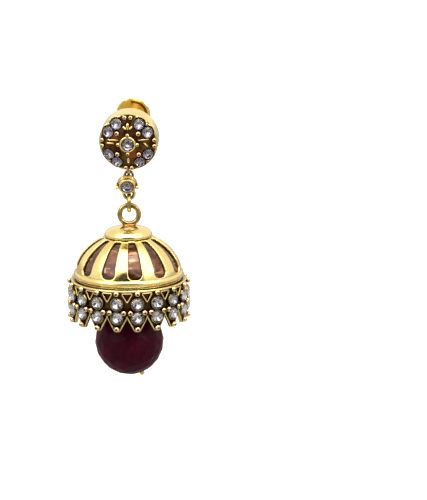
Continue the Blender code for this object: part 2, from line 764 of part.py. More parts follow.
def skirt_openings():
    """Sunk windows above the middle balls and open notches between the lower points."""
    pitch_width = 2.0 * math.pi * SKIRT_RADIUS / CELL_COUNT
    window_top = -BAND_BOTTOM - SEAT - SKIRT_RAIL - SKIRT_RAIL_PROUD / 2.0
    window = extruded(
        [(-WINDOW_WIDTH / 2.0, window_top), (0.0, -WINDOW_TIP_DROP), (WINDOW_WIDTH / 2.0, window_top)],
        CUTTER_REACH,
    )
    window_middle = SKIRT_RADIUS - WINDOW_DEPTH_SHARE * SKIRT_WALL + CUTTER_REACH / 2.0
    floor = -BAND_BOTTOM - SEAT - SKIRT_HEIGHT
    slope = (pitch_width - POINT_WIDTH) / 2.0 / (-NOTCH_TIP_DROP - floor)
    below = floor - SEAT
    notch_half = slope * (-NOTCH_TIP_DROP - below)
    notch = extruded([(-notch_half, below), (0.0, -NOTCH_TIP_DROP), (notch_half, below)], CUTTER_REACH)
    pitch = 2.0 * math.pi / CELL_COUNT
    pieces = []
    for index in range(CELL_COUNT):
        angle = CELL_FIRST + pitch * (index + 0.5)
        pieces.append((window, around(angle, window_middle, 0.0)))
        pieces.append((notch, around(angle, SKIRT_RADIUS, 0.0)))
    return pieces


def skirt_jewels():
    """Stones and balls, all clear of each other, and sunk a little into the strip."""
    stone = cut_stone(SKIRT_STONE_RADIUS, SKIRT_STONE_LIFT + SKIRT_WALL / 2.0)
    bead = ball(BALL_RADIUS, BALL_SIDES, SKIRT_BALL_RINGS)
    pitch = 2.0 * math.pi / CELL_COUNT
    spread = MIDDLE_BALL_SPREAD / BALL_CIRCLE
    pieces = []
    for index in range(CELL_COUNT):
        angle = CELL_FIRST + pitch * index
        for drop in (UPPER_STONE_DROP, LOWER_STONE_DROP):
            pieces.append((stone, around(angle, SKIRT_RADIUS + SKIRT_STONE_LIFT, -drop)))
        for drop in (TOP_BALL_DROP, BOTTOM_BALL_DROP):
            pieces.append((bead, around(angle, BALL_CIRCLE, -drop)))
        for side in (-spread, spread):
            pieces.append((bead, around(angle + pitch / 2.0 + side, BALL_CIRCLE, -MIDDLE_BALL_DROP)))
    return pieces


def build_skirt(frame, place):
    top = -BAND_BOTTOM - SEAT
    inner = SKIRT_RADIUS - SKIRT_WALL
    outer = SKIRT_RADIUS
    profile = [
        (inner, top),
        (outer + SKIRT_RAIL_PROUD, top),
        (outer + SKIRT_RAIL_PROUD, top - SKIRT_RAIL * 0.8),
        (outer, top - SKIRT_RAIL),
        (outer, top - SKIRT_HEIGHT),
        (inner, top - SKIRT_HEIGHT),
    ]
    strip = cut(turned(profile, SKIRT_STEPS), skirt_openings())
    add_part("skirt", fused(strip, skirt_jewels()), GOLD, frame, place)


# Bead and pin

def build_bead(frame, place):
    hole_angle = math.asin(BEAD_HOLE_RADIUS / BEAD_RADIUS)
    profile = []
    for row in range(BEAD_ROWS + 1):
        angle = hole_angle + (math.pi - 2.0 * hole_angle) * row / BEAD_ROWS
        profile.append((BEAD_RADIUS * math.sin(angle), BEAD_RADIUS * math.cos(angle)))
    bead = turned(profile, BEAD_SIDES)
    bead.shade_flat()
    add_part("ruby_bead", bead, WINE_STONE, frame, place @ at(0.0, 0.0, -BEAD_DROP) @ turn_y(-BEAD_TILT))


def pin_path():
    """From below the bead, through it, and in one smooth bend up into the cap's socket."""
    middle = Vector((0.0, 0.0, -BEAD_DROP))
    up = Vector((-math.sin(BEAD_TILT), 0.0, math.cos(BEAD_TILT)))
    socket_top = dome_outer(DOME_EYE_RADIUS) + SEAT
    socket_mouth = socket_top - SOCKET_LENGTH
    start = middle - up * (BEAD_RADIUS + PIN_END)
    neck = middle + up * (BEAD_RADIUS + PIN_NECK)
    shoulder = Vector((0.0, 0.0, socket_mouth - PIN_STRAIGHT))
    pull = (shoulder - neck).length
    points = [start, neck]
    for step in range(1, PIN_STEPS):
        share = step / PIN_STEPS
        back = 1.0 - share
        points.append(
            neck * (back ** 3)
            + (neck + up * pull * PIN_LOWER_PULL) * (3.0 * back ** 2 * share)
            + (shoulder - Vector((0.0, 0.0, pull * PIN_UPPER_PULL))) * (3.0 * back * share ** 2)
            + shoulder * (share ** 3)
        )
    points += [shoulder, Vector((0.0, 0.0, socket_top))]
    return points


def build_pin(frame, place):
    add_part("bead_pin", wire_curve(pin_path(), PIN_RADIUS), GOLD, frame, place)


def build_earring():
    stud_turn = turn_z(-STUD_YAW) @ turn_x(math.pi / 2.0 + STUD_DROOP)
    lobe_point = at(0.0, -POST_HEIGHT, STUD_DEPTH + LOBE_GAP / 2.0)
    stud_frame = add_frame("stud_frame", stud_turn @ lobe_point)
    build_stud(stud_frame)
    build_nut(stud_frame)
    loop_top = stud_frame.matrix_local @ Vector((STUD_LOOP_SIDE, -STUD_RADIUS, -STUD_LOOP_SETBACK))
    rise = STUD_LOOP_WIRE / 2.0 + SEAT + LINK_WIRE / 2.0
    link_top = loop_top + Vector((0.0, 0.0, rise - 2.0 * STUD_LOOP_RADIUS))
    link_frame = add_frame("link_pivot", Matrix.Translation(link_top))
    bell_drop = build_link(link_frame)
    bell_frame = add_frame("bell_pivot", at(0.0, 0.0, bell_drop), link_frame)
    ring_top = ring_height() + RING_RADIUS
    pivot_height = ring_top - RING_WIRE / 2.0 - SEAT - JUMP_WIRE / 2.0
    bell_place = at(-RING_SIDE, 0.0, -pivot_height)
    build_cap(bell_frame, bell_place)
    build_dome(bell_frame, bell_place)
    build_skirt(bell_frame, bell_place)
    build_bead(bell_frame, bell_place)
    build_pin(bell_frame, bell_place)


clear_scene()
PARTS = new_collection("jhumka_earring")
GOLD = material("antique gold", (0.83, 0.62, 0.22), 0.22, 1.0)
CLEAR_STONE = material("clear crystal", (0.92, 0.94, 0.96), 0.03, 0.0, 0.9)
WINE_STONE = material("wine red stone", (0.09, 0.012, 0.028), 0.12, 0.0)
build_earring()
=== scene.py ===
import math

import bmesh
import bpy
from mathutils import Matrix, Vector, noise


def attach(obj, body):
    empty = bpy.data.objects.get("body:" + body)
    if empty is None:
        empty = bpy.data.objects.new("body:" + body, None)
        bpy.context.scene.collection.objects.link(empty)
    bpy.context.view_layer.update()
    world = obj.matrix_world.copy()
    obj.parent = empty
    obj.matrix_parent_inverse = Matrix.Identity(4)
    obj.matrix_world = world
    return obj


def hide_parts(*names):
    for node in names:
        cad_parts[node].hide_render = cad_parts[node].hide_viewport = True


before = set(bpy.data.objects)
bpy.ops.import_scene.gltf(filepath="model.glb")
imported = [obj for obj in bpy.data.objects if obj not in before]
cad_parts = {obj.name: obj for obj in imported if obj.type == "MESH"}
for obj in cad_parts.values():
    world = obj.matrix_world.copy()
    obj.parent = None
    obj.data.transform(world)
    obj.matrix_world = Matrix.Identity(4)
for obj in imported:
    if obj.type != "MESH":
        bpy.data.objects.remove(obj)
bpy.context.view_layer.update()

MM = 0.001

# Sizes, in metres: those of the solids that the pieces stand for
SEAT = 0.00012

STUD_RADIUS = 0.0050
STUD_DEPTH = 0.0038
STUD_RISE = 0.0012
STUD_DROOP = math.radians(9.0)
STUD_YAW = math.radians(6.0)
STUD_STONE_RADIUS = 0.00095
STUD_STONE_CIRCLE = 0.00390
STUD_STONE_ANGLES = (30.0, 60.0, 120.0, 150.0, 210.0, 240.0, 300.0, 330.0)
CENTRE_STONE_RADIUS = 0.00105
COLLET_RISE = 0.00045
POST_RADIUS = 0.00040
POST_LENGTH = 0.0112
POST_HEIGHT = 0.0020
LOBE_GAP = 0.0053
NUT_RADIUS = 0.0030
NUT_PLATE = 0.00035
NUT_DISH = 0.00030
NUT_HEIGHT = 0.0026
SCROLL_RADIUS = 0.00105
SCROLL_END_RADIUS = 0.00050
SCROLL_TURNS = 1.35
SCROLL_WALL = 0.00028

STUD_LOOP_RADIUS = 0.00062
STUD_LOOP_WIRE = 0.00050
STUD_LOOP_SETBACK = 0.00125
STUD_LOOP_SIDE = -0.00020
LINK_TOP_RADIUS = 0.00072
LINK_WIRE = 0.00050
LINK_BOTTOM_RADIUS = 0.00088
LINK_BOTTOM_WIRE = 0.00060
JUMP_RADIUS = 0.00140
JUMP_WIRE = 0.00072
RING_RADIUS = 0.00163
RING_WIRE = 0.00086
RING_SIDE = 0.0002

LINK_LENGTH = 0.00477
LINK_STONE_RADIUS = 0.00105
LINK_DROOP = math.radians(22.0)
LINK_FORWARD = 0.0015
LINK_CLEARANCE = 0.00005
LINK_STONE_SIDE = -0.0003
LINK_WALL = 0.00028
LINK_STEP = 0.00013
LINK_CUP_DEPTH = 0.0013
PRONG_SPREAD = 0.00172

CAP_RADIUS = 0.00415
CAP_RISE = 0.00158
CAP_LIP = 0.00028
SOCKET_RADIUS = 0.00095
SOCKET_LENGTH = 0.0013
DOME_RADIUS = 0.00925
DOME_HEIGHT = 0.00725
DOME_WALL = 0.00065
DOME_EYE_RADIUS = 0.0026
BAND_RADIUS = 0.00952
BAND_TOP = 0.00075
BAND_BOTTOM = 0.00060
BAND_WALL = 0.00085
SLIT_COUNT = 12
SLIT_SHARE = 0.51
SLIT_FIRST = math.radians(7.0)
SLIT_BOTTOM = 0.00088
SLIT_DEPTH = DOME_WALL * 0.65
SLIT_TOP_RADIUS = 0.00432

CELL_COUNT = 18
CELL_FIRST = math.radians(8.0)
SKIRT_RADIUS = 0.00990
SKIRT_WALL = 0.00055
WINDOW_DEPTH = SKIRT_WALL * 0.55
SKIRT_HEIGHT = 0.00715
SKIRT_RAIL = 0.00042
SKIRT_STONE_RADIUS = 0.00103
SKIRT_STONE_LIFT = 0.0003
UPPER_STONE_Z = -0.0031
LOWER_STONE_Z = -0.0055
BALL_RADIUS = 0.00048
BALL_CIRCLE = 0.01022
TOP_BALL_Z = -0.00125
MIDDLE_BALL_Z = -0.00452
MIDDLE_BALL_SPREAD = 0.00056
BOTTOM_BALL_Z = -0.00735
WINDOW_WIDTH = 0.0019
WINDOW_TIP_Z = -0.0029
NOTCH_TIP_Z = -0.0054
POINT_WIDTH = 0.00075

BEAD_RADIUS = 0.0060
BEAD_Z = -0.0120
BEAD_TILT = math.radians(20.0)
PIN_RADIUS = 0.00042
PIN_END = 0.00065
PIN_NECK = 0.0008
PIN_STRAIGHT = 0.0012

# Finer forms, which only the looks have
STUD_SEGMENTS = 200
STUD_FACE_ROWS = 62
STUD_FACE_EDGE = 4.88 * MM
STUD_GROUND_EDGE = 4.80 * MM
STUD_SIDE = (  # radius and height in mm, from the face's edge down to the middle of the back
    (4.93, 0.10), (4.97, 0.03), (4.995, -0.08), (5.0, -0.2), (5.0, -3.0), (4.98, -3.2), (4.92, -3.42),
    (4.80, -3.62), (4.62, -3.75), (4.4, -3.8), (0.0, -3.8),
)
STONE_DEPTH = 0.60
SKIRT_STONE_DEPTH = 0.38
PIT_PROFILE = ((0.0, 0.80), (0.22, 0.83), (0.34, 0.90))
PIT_MOUTH = 0.44
BAND_BULGE = 0.62 * MM
BAND_ARC = 62.0
WINDOW_WIRE = 0.13 * MM
BORDER_WIRE = 0.14 * MM
BEAD_SIDES = 16
BEAD_ROWS = 11
BEAD_HOLE = 0.60 * MM

# Studio
FLOOR_Z = -0.062
FLOOR_REACH = 4.0
SWEEP_START = 0.25
SWEEP_RADIUS = 0.3
SWEEP_TOP = 1.2
LAMP_AIM = (0.0, 0.0, -0.02)
LAMPS = (  # name, place, size in metres and power in watts
    ("top_light", (0.04, -0.10, 0.44), 0.20, 0.50),
    ("left_light", (-0.342, -0.19, 0.20), 0.10, 0.26),
    ("right_light", (0.342, -0.19, 0.20), 0.10, 0.26),
)
CAMERA_OFFSET = (0.0, -0.2917, 0.070)
CAMERA_DOWN = 12.75
CAMERA_PAN = 2.88
CAMERA_LENS = 124.8
CAMERA_SENSOR = 36.0


def turn_x(angle):
    return Matrix.Rotation(angle, 4, "X")


def turn_y(angle):
    return Matrix.Rotation(angle, 4, "Y")


def turn_z(angle):
    return Matrix.Rotation(angle, 4, "Z")


def at(x, y, z):
    return Matrix.Translation((x, y, z))


def stretch(x, y, z):
    return Matrix.Diagonal((x, y, z, 1.0))


def smooth_step(low, high, value):
    share = min(max((value - low) / (high - low), 0.0), 1.0)
    return share * share * (3.0 - 2.0 * share)


# Shapes: each is a list of points, a list of faces, and a material number for each face

def add_circle(points, count, radius, height, first=0.0):
    """Adds a circle about Z to the points and gives its row. A circle of no radius is one point."""
    start = len(points)
    if radius < 1e-9:
        points.append((0.0, 0.0, height))
        return [start] * count
    for index in range(count):
        angle = first + 2.0 * math.pi * index / count
        points.append((radius * math.cos(angle), radius * math.sin(angle), height))
    return list(range(start, len(points)))


def between(low, high):
    """The faces between two closed rows. At a pole they are triangles."""
    faces = []
    for index in range(len(low)):
        after = (index + 1) % len(low)
        corners = [low[index], low[after], high[after], high[index]]
        face = [c for i, c in enumerate(corners) if c not in corners[:i]]
        if len(face) > 2:
            faces.append(face)
    return faces


def skin(rows, slots=None):
    """The faces and material numbers of closed rows, one after another."""
    faces = []
    marks = []
    for index, (low, high) in enumerate(zip(rows, rows[1:])):
        strip = between(low, high)
        faces += strip
        marks += [slots[index] if slots else 0] * len(strip)
    return faces, marks


def revolve(profile, steps, closed=False, slots=None):
    """A profile of (radius, height) turned about Z."""
    points = []
    rows = [add_circle(points, steps, radius, height) for radius, height in profile]
    if closed:
        rows.append(rows[0])
    return (points, *skin(rows, slots))


def torus(radius, wire, steps=72, sides=20):
    half = wire / 2.0
    angles = [2.0 * math.pi * side / sides for side in range(sides)]
    profile = [(radius + half * math.cos(angle), half * math.sin(angle)) for angle in angles]
    return revolve(profile, steps, closed=True)


def ball(radius, steps=20, rows=12):
    angles = [math.pi * row / rows for row in range(rows + 1)]
    return revolve([(radius * math.sin(a) if 0 < i < rows else 0.0, radius * math.cos(a))
                    for i, a in enumerate(angles)], steps)


def grain(radius, steps=20, rows=10):
    """A ball with a small pit at its top, which takes the next finish in the list: a painted dark centre."""
    profile = [(across * radius, height * radius) for across, height in PIT_PROFILE]
    first = math.asin(PIT_MOUTH)
    for row in range(rows):
        angle = first + (math.pi - first) * row / rows
        profile.append((radius * math.sin(angle), radius * math.cos(angle)))
    profile.append((0.0, -radius))
    return revolve(profile, steps, slots=[1] * len(PIT_PROFILE) + [0] * rows)


def tube(path, radius, sides=12, closed=False, widths=None):
    """A round wire along a path. Widths are shares of the radius at each point."""
    path = [Vector(point) for point in path]
    count = len(path)
    directions = []
    for index in range(count):
        if closed:
            step = path[(index + 1) % count] - path[index - 1]
        else:
            step = path[min(index + 1, count - 1)] - path[max(index - 1, 0)]
        directions.append(step.normalized())
    across = directions[0].orthogonal().normalized()
    points = []
    rows = []
    for index in range(count):
        if index:
            across = directions[index - 1].rotation_difference(directions[index]) @ across
        other = directions[index].cross(across)
        size = radius * (widths[index] if widths else 1.0)
        row = []
        for side in range(sides):
            angle = 2.0 * math.pi * side / sides
            row.append(len(points))
            points.append(
                path[index] + across * (size * math.cos(angle)) + other * (size * math.sin(angle)))
        rows.append(row)
    if closed:
        rows.append(rows[0])
    faces, marks = skin(rows)
    if not closed:
        faces += [rows[0][::-1], rows[-1]]
        marks += [0, 0]
    return points, faces, marks


def rod(radius, length, steps=24, edge=0.0):
    """A round rod that stands on the origin, with its edges rounded."""
    return revolve([(0.0, 0.0), (radius - edge, 0.0), (radius, edge), (radius, length - edge),
                    (radius - edge, length), (0.0, length)], steps)


def cut_stone(radius, depth):
    """A round brilliant, as deep as a share of its radius.

    Slot 0 is its clear crown, slot 1 the mirrored back.
    """
    table, crown, girdle = 0.56 * radius, 0.36 * radius, 0.07 * radius
    half_step = math.radians(22.5)
    points = []
    top = add_circle(points, 8, table, crown)
    middle = add_circle(points, 8, 0.80 * radius, 0.205 * radius, half_step)
    upper = add_circle(points, 16, radius, 0.0)
    lower = add_circle(points, 16, radius, -girdle)
    back = add_circle(points, 8, 0.52 * radius, -girdle - 0.50 * depth * radius, half_step)
    point = add_circle(points, 1, 0.0, -girdle - depth * radius)[0]
    clear = [top[:]]
    mirrored = []
    for index in range(8):
        after = (index + 1) % 8
        before = (index - 1) % 8
        main, half, last = upper[2 * index], upper[2 * index + 1], upper[(2 * index + 2) % 16]
        clear.append([top[index], middle[index], top[after]])
        clear.append([top[index], middle[before], main, middle[index]])
        clear.append([middle[index], main, half])
        clear.append([middle[index], half, last])
        main, half, last = lower[2 * index], lower[2 * index + 1], lower[(2 * index + 2) % 16]
        mirrored.append([point, back[index], main, back[before]])
        mirrored.append([back[index], half, main])
        mirrored.append([back[index], last, half])
    for index in range(16):
        after = (index + 1) % 16
        clear.append([upper[index], lower[index], lower[after], upper[after]])
    return points, clear + mirrored, [0] * len(clear) + [1] * len(mirrored)


class Builder:
    """Collects shapes into one piece."""

    def __init__(self):
        self.points = []
        self.faces = []
        self.marks = []

    def add(self, shape, place=Matrix(), slot=None):
        points, faces, marks = shape
        first = len(self.points)
        self.points += [place @ Vector(point) for point in points]
        self.faces += [[first + index for index in face] for face in faces]
        self.marks += marks if slot is None else [slot] * len(faces)
        return self

    def piece(self, name, body, nodes, slot_name, finishes, place=Matrix(), sharp=35.0, weld=False):
        mesh = bpy.data.meshes.new(name)
        mesh.from_pydata([place @ point for point in self.points], [], self.faces)
        for finish in finishes:
            mesh.materials.append(finish)
        mesh.polygons.foreach_set("material_index", self.marks)
        shape = bmesh.new()
        shape.from_mesh(mesh)
        if weld:
            bmesh.ops.remove_doubles(shape, verts=shape.verts, dist=1e-7)
        bmesh.ops.recalc_face_normals(shape, faces=shape.faces)
        shape.to_mesh(mesh)
        shape.free()
        if sharp > 0.0:
            mesh.shade_smooth()
            mesh.set_sharp_from_angle(angle=math.radians(sharp))
        else:
            mesh.shade_flat()
        item = bpy.data.objects.new(name, mesh)
        bpy.context.scene.collection.objects.link(item)
        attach(item, body)
        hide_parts(*nodes)
        return item


def set_stone(name, body, node, radius, spot, place):
    Builder().add(cut_stone(radius, STONE_DEPTH), spot).piece(
        name, body, [node], "crystal", [CRYSTAL, DULL_FOIL], place, 0.0)


# Materials

def fill(node, **values):
    """Sets a node's own sockets. An underscore in a name stands for a space."""
    for name, value in values.items():
        node.inputs[name.replace("_", " ")].default_value = value


class Nodes:
    """Short forms for making the nodes of a material or of the world."""

    def __init__(self, owner, coordinates="Object"):
        self.owner = owner
        owner.use_nodes = True
        self.tree = owner.node_tree
        self.shader = self.tree.nodes.get("Principled BSDF")
        self.place = self.tree.nodes.new("ShaderNodeTexCoord").outputs[coordinates]

    def link(self, source, target):
        self.tree.links.new(source, target)

    def noise(self, scale, detail=3.0, roughness=0.55, distortion=0.0):
        node = self.tree.nodes.new("ShaderNodeTexNoise")
        self.link(self.place, node.inputs["Vector"])
        fill(node, Scale=scale, Detail=detail, Roughness=roughness, Distortion=distortion)
        return node.outputs["Fac"]

    def ramp(self, source, low, high, first=0.0, last=1.0):
        """Goes smoothly from the first value to the last while the source goes from low to high."""
        node = self.tree.nodes.new("ShaderNodeMapRange")
        node.interpolation_type = "SMOOTHSTEP"
        self.link(source, node.inputs["Value"])
        fill(node, From_Min=low, From_Max=high, To_Min=first, To_Max=last)
        return node.outputs["Result"]

    def patches(self, pattern, low, high, first=0.0, last=1.0):
        """A ramp on a noise pattern, which is given as for noise."""
        return self.ramp(self.noise(*pattern), low, high, first, last)

    def mix(self, factor, first, last):
        node = self.tree.nodes.new("ShaderNodeMix")
        node.data_type = "RGBA"
        self.link(factor, node.inputs["Factor"])
        for socket, value in ((node.inputs[6], first), (node.inputs[7], last)):
            if isinstance(value, tuple):
                socket.default_value = (*value, 1.0)
            else:
                self.link(value, socket)
        return node.outputs[2]

    def hollow(self, distance, low, high):
        """1 where the surface is shut in by others nearby, and 0 in the open: the mask of painted shade."""
        node = self.tree.nodes.new("ShaderNodeAmbientOcclusion")
        node.samples = 8
        fill(node, Distance=distance)
        return self.ramp(node.outputs["AO"], low, high, 1.0, 0.0)

    def bump(self, pattern, strength, distance, under=None):
        node = self.tree.nodes.new("ShaderNodeBump")
        self.link(self.noise(*pattern), node.inputs["Height"])
        fill(node, Strength=strength, Distance=distance)
        if under is not None:
            self.link(under, node.inputs["Normal"])
        return node.outputs["Normal"]

    def math(self, operation, first, second):
        node = self.tree.nodes.new("ShaderNodeMath")
        node.operation = operation
        self.link(first, node.inputs[0])
        self.link(second, node.inputs[1])
        return node.outputs[0]

    def seen(self):
        """1 where a surface is seen directly, and 0 where it lights or is reflected."""
        return self.tree.nodes.new("ShaderNodeLightPath").outputs["Is Camera Ray"]

    def paint(self, colour, roughness, normal=None):
        self.link(colour, self.shader.inputs["Base Color"])
        self.link(roughness, self.shader.inputs["Roughness"])
        if normal is not None:
            self.link(normal, self.shader.inputs["Normal"])
        return self.owner


def material(name):
    return Nodes(bpy.data.materials.new(name))


def gold_finish(name, bright, deep, dark, reach, low, high, wave=0.00005, rough=(0.10, 0.24)):
    """Gold plating: bright on open surfaces, deeper in patches, with painted shade and dirt darkening its
    hollows.
    """
    made = material(name)
    fill(made.shader, Metallic=1.0)
    tone = made.mix(made.patches((420.0, 4.0), 0.35, 0.70), bright, deep)
    spots = made.patches((2600.0, 3.0), 0.25, 0.60, 0.55, 1.0)
    # Painted shade: darkening where the surface is shut in, broken up by random dirt spots
    dirt_and_painted_shade = made.math("MULTIPLY", made.hollow(reach, low, high), spots)
    slow = made.bump((700.0, 2.0, 0.4), 0.5, wave)
    fine = made.bump((6500.0, 3.0, 0.6), 0.35, wave * 0.12, slow)
    return made.paint(made.mix(dirt_and_painted_shade, tone, dark), made.patches((1500.0, 4.0), 0.3, 0.75, *rough), fine)


def ground_finish():
    """The stud's face: antique brown with olive and copper-red patches, and painted shade darkening it where
    it is shut in.
    """
    made = material("antique_ground")
    fill(made.shader, Metallic=1.0)
    olive = made.patches((520.0, 3.0), 0.40, 0.62)
    base = made.mix(olive, (0.080, 0.024, 0.008), (0.150, 0.085, 0.023))
    tone = made.mix(made.patches((310.0, 2.0), 0.54, 0.70), base, (0.34, 0.085, 0.028))
    # Painted shade: the colour goes nearly black where the face is shut in
    return made.paint(
        made.mix(made.hollow(0.0012, 0.35, 0.95), tone, (0.020, 0.006, 0.003)),
        made.patches((1800.0, 4.0), 0.3, 0.75, 0.22, 0.45), made.bump((3800.0, 4.0, 0.65), 0.6, 0.00004))


def crystal_finish():
    made = material("clear_crystal")
    fill(made.shader, Transmission_Weight=1.0, IOR=1.56)
    return made.paint(
        made.mix(made.noise(900.0, 2.0), (0.97, 0.98, 1.0), (0.90, 0.92, 0.97)),
        made.patches((2500.0, 2.0), 0.3, 0.7, 0.0, 0.035))


def foil_finish(name, bright, dull):
    made = material(name)
    fill(made.shader, Metallic=1.0)
    return made.paint(
        made.mix(made.noise(1200.0, 2.0), bright, dull), made.patches((3000.0, 2.0), 0.3, 0.7, 0.02, 0.08))


def wine_finish():
    """Dyed stone: wine red, cloudy, with darker veins."""
    made = material("wine_stone")
    fill(made.shader, IOR=1.45, Specular_IOR_Level=0.08, Subsurface_Weight=0.12,
         Subsurface_Radius=(0.0012, 0.0003, 0.0004), Subsurface_Scale=1.0)
    cloud = made.patches((190.0, 5.0, 0.6, 0.6), 0.32, 0.70)
    tone = made.mix(cloud, (0.036, 0.0006, 0.006), (0.078, 0.0018, 0.018))
    vein = made.patches((420.0, 6.0, 0.7, 1.5), 0.56, 0.64, 0.0, 0.45)
    return made.paint(
        made.mix(vein, tone, (0.020, 0.001, 0.006)), made.patches((800.0, 4.0), 0.3, 0.75, 0.30, 0.44),
        made.bump((2200.0, 4.0, 0.6), 0.25, 0.00002))


def recess_finish():
    """The sunk panels of the dome: copper brown, with painted highlights in warm streaks that run round it,
    and painted shade where they are shut in.
    """
    made = material("copper_recess")
    fill(made.shader, Metallic=1.0, Coat_Weight=1.0, Coat_Roughness=0.07)
    stretched = made.tree.nodes.new("ShaderNodeMapping")
    fill(stretched, Scale=(0.22, 0.22, 1.0))
    made.link(made.place, stretched.inputs["Vector"])
    made.place = stretched.outputs["Vector"]
    base = made.mix(made.patches((900.0, 4.0), 0.35, 0.66), (0.050, 0.014, 0.004), (0.16, 0.048, 0.010))
    # Painted highlights: warm orange streaks laid over the copper brown
    tone = made.mix(made.patches((1900.0, 3.0, 0.6, 0.4), 0.54, 0.68), base, (0.46, 0.20, 0.065))
    # Painted shade where the panels are shut in
    return made.paint(
        made.mix(made.hollow(0.0012, 0.45, 0.98), tone, (0.020, 0.007, 0.003)),
        made.patches((2400.0, 3.0), 0.3, 0.75, 0.24, 0.42), made.bump((2600.0, 4.0, 0.6), 0.7, 0.00010))


# Each gold: its bright, deep and dark colours, the dark being painted shade with dirt; how far the dark
# reaches, and between which shades
GOLD = gold_finish(
    "antique_gold", (1.0, 0.79, 0.33), (0.96, 0.66, 0.22), (0.060, 0.026, 0.006), 0.0017, 0.38, 1.0)
SMOOTH_GOLD = gold_finish(
    "polished_gold", (1.0, 0.80, 0.33), (0.97, 0.73, 0.25), (0.12, 0.060, 0.014), 0.0012, 0.25, 0.85,
    0.00004, (0.10, 0.22))
# A darker, coppery copy of the gold for inner faces, walls and backings: painted shade and painted warm
# reflections
SHADED_INSIDE = gold_finish(
    "shaded_inner_gold", (0.62, 0.24, 0.06), (0.36, 0.11, 0.028), (0.06, 0.018, 0.006), 0.0020, 0.25, 0.95,
    0.00020, (0.20, 0.40))
GROUND = ground_finish()
# The plates between the skirt's stones: a dark copy of the gold, painted shade
SHADED_PLATE = gold_finish(
    "shaded_gold", (0.150, 0.072, 0.020), (0.070, 0.030, 0.009), (0.008, 0.003, 0.0015), 0.0024, 0.35, 1.0,
    0.00008, (0.20, 0.36))
PINK = gold_finish(
    "pink_gold", (1.0, 0.74, 0.38), (0.96, 0.58, 0.25), (0.050, 0.018, 0.006), 0.0013, 0.42, 1.0, 0.00001)
SHADOW = gold_finish(
    "shadow_gold", (0.30, 0.14, 0.035), (0.16, 0.065, 0.018), (0.020, 0.008, 0.003), 0.0014, 0.40, 1.0)
# The grains' pits: painted dark centres, standing in for the dark reflection in the middle of each ball
PAINTED_DARK_CENTRE = gold_finish(
    "painted_dark_centre", (0.20, 0.075, 0.030), (0.11, 0.040, 0.016), (0.030, 0.010, 0.005), 0.0006, 0.40, 1.0, 0.00001)
# A darker, duller copy of the gold for the rings, the link's boss and the stones' collars: painted shade
SHADED_DULL_GOLD = gold_finish(
    "shaded_dull_gold", (0.56, 0.40, 0.12), (0.26, 0.15, 0.038), (0.035, 0.015, 0.004), 0.0016, 0.45, 1.0)
SOLDER = gold_finish(
    "solder", (0.80, 0.38, 0.09), (0.42, 0.15, 0.03), (0.08, 0.025, 0.006), 0.0012, 0.35, 0.95, 0.00012)
# The skirt's shut windows: dark maroon, painted shade where the inside would show through
MAROON_SHADE = gold_finish(
    "maroon_painted_shade", (0.125, 0.030, 0.018), (0.070, 0.015, 0.012), (0.012, 0.003, 0.003), 0.0014, 0.30, 0.95,
    0.00012, (0.28, 0.50))
CRYSTAL = crystal_finish()
FOIL = foil_finish("crystal_foil", (0.92, 0.91, 0.90), (0.36, 0.35, 0.35))
DULL_FOIL = foil_finish("tarnished_foil", (0.58, 0.53, 0.55), (0.22, 0.19, 0.21))
RECESS = recess_finish()
WINE = wine_finish()


# Places of the three moving frames, from the sizes above

def face_height(radius):
    return STUD_RISE * (1.0 - (radius / STUD_RADIUS) ** 2)


def on_face(degrees, radius, lift=0.0):
    slope = math.atan(2.0 * STUD_RISE * radius / STUD_RADIUS ** 2)
    around = turn_z(-math.radians(degrees))
    return around @ at(0.0, radius, face_height(radius) + lift) @ turn_x(-slope)


def dome_outer(radius):
    return DOME_HEIGHT * math.sqrt(1.0 - (radius / DOME_RADIUS) ** 2)


CAP_FOOT = dome_outer(CAP_RADIUS) + SEAT + CAP_LIP
CAP_TOP = CAP_FOOT + CAP_RISE
RING_HEIGHT = CAP_TOP + RING_RADIUS + RING_WIRE * 0.3

STUD_TURN = turn_z(-STUD_YAW) @ turn_x(math.pi / 2.0 + STUD_DROOP)
STUD = STUD_TURN @ at(0.0, -POST_HEIGHT, STUD_DEPTH + LOBE_GAP / 2.0)
LOOP_TOP = STUD @ Vector((STUD_LOOP_SIDE, -STUD_RADIUS, -STUD_LOOP_SETBACK))
LINK_DROP = STUD_LOOP_WIRE / 2.0 + SEAT + LINK_WIRE / 2.0 - 2.0 * STUD_LOOP_RADIUS
LINK = Matrix.Translation(LOOP_TOP) @ at(0.0, 0.0, LINK_DROP)
JUMP_Z = -LINK_LENGTH + LINK_BOTTOM_WIRE / 2.0 + SEAT + JUMP_WIRE / 2.0 - JUMP_RADIUS
RING_SEAT = RING_HEIGHT + RING_RADIUS - RING_WIRE / 2.0 - SEAT - JUMP_WIRE / 2.0
BELL = LINK @ at(-RING_SIDE, 0.0, JUMP_Z - JUMP_RADIUS - RING_SEAT)


# Ear stud

STONE_SPOTS = [
    on_face(degrees, STUD_STONE_CIRCLE, STUD_STONE_RADIUS * 0.22) for degrees in STUD_STONE_ANGLES]


def relief(x, y):
    """Height of the stud's face with the stones' seats sunk into it and a low collar round each."""
    radius = math.hypot(x, y)
    height = face_height(radius)
    sink = 0.0
    collar = 0.0
    for spot in STONE_SPOTS:
        away = math.hypot(x - spot.translation.x, y - spot.translation.y)
        sink = max(sink, 1.0 - smooth_step(STUD_STONE_RADIUS, STUD_STONE_RADIUS + 0.08 * MM, away))
        collar = max(collar, math.exp(-((away - STUD_STONE_RADIUS - 0.15 * MM) / (0.07 * MM)) ** 2))
    centre = 1.0 - smooth_step(CENTRE_STONE_RADIUS, CENTRE_STONE_RADIUS + 0.15 * MM, radius)
    rough = noise.noise(Vector((x, y, 0.0)) * 1900.0) * 0.05 * MM
    return height + 0.09 * MM * collar * (1.0 - sink) + rough - 0.62 * MM * max(sink, centre)


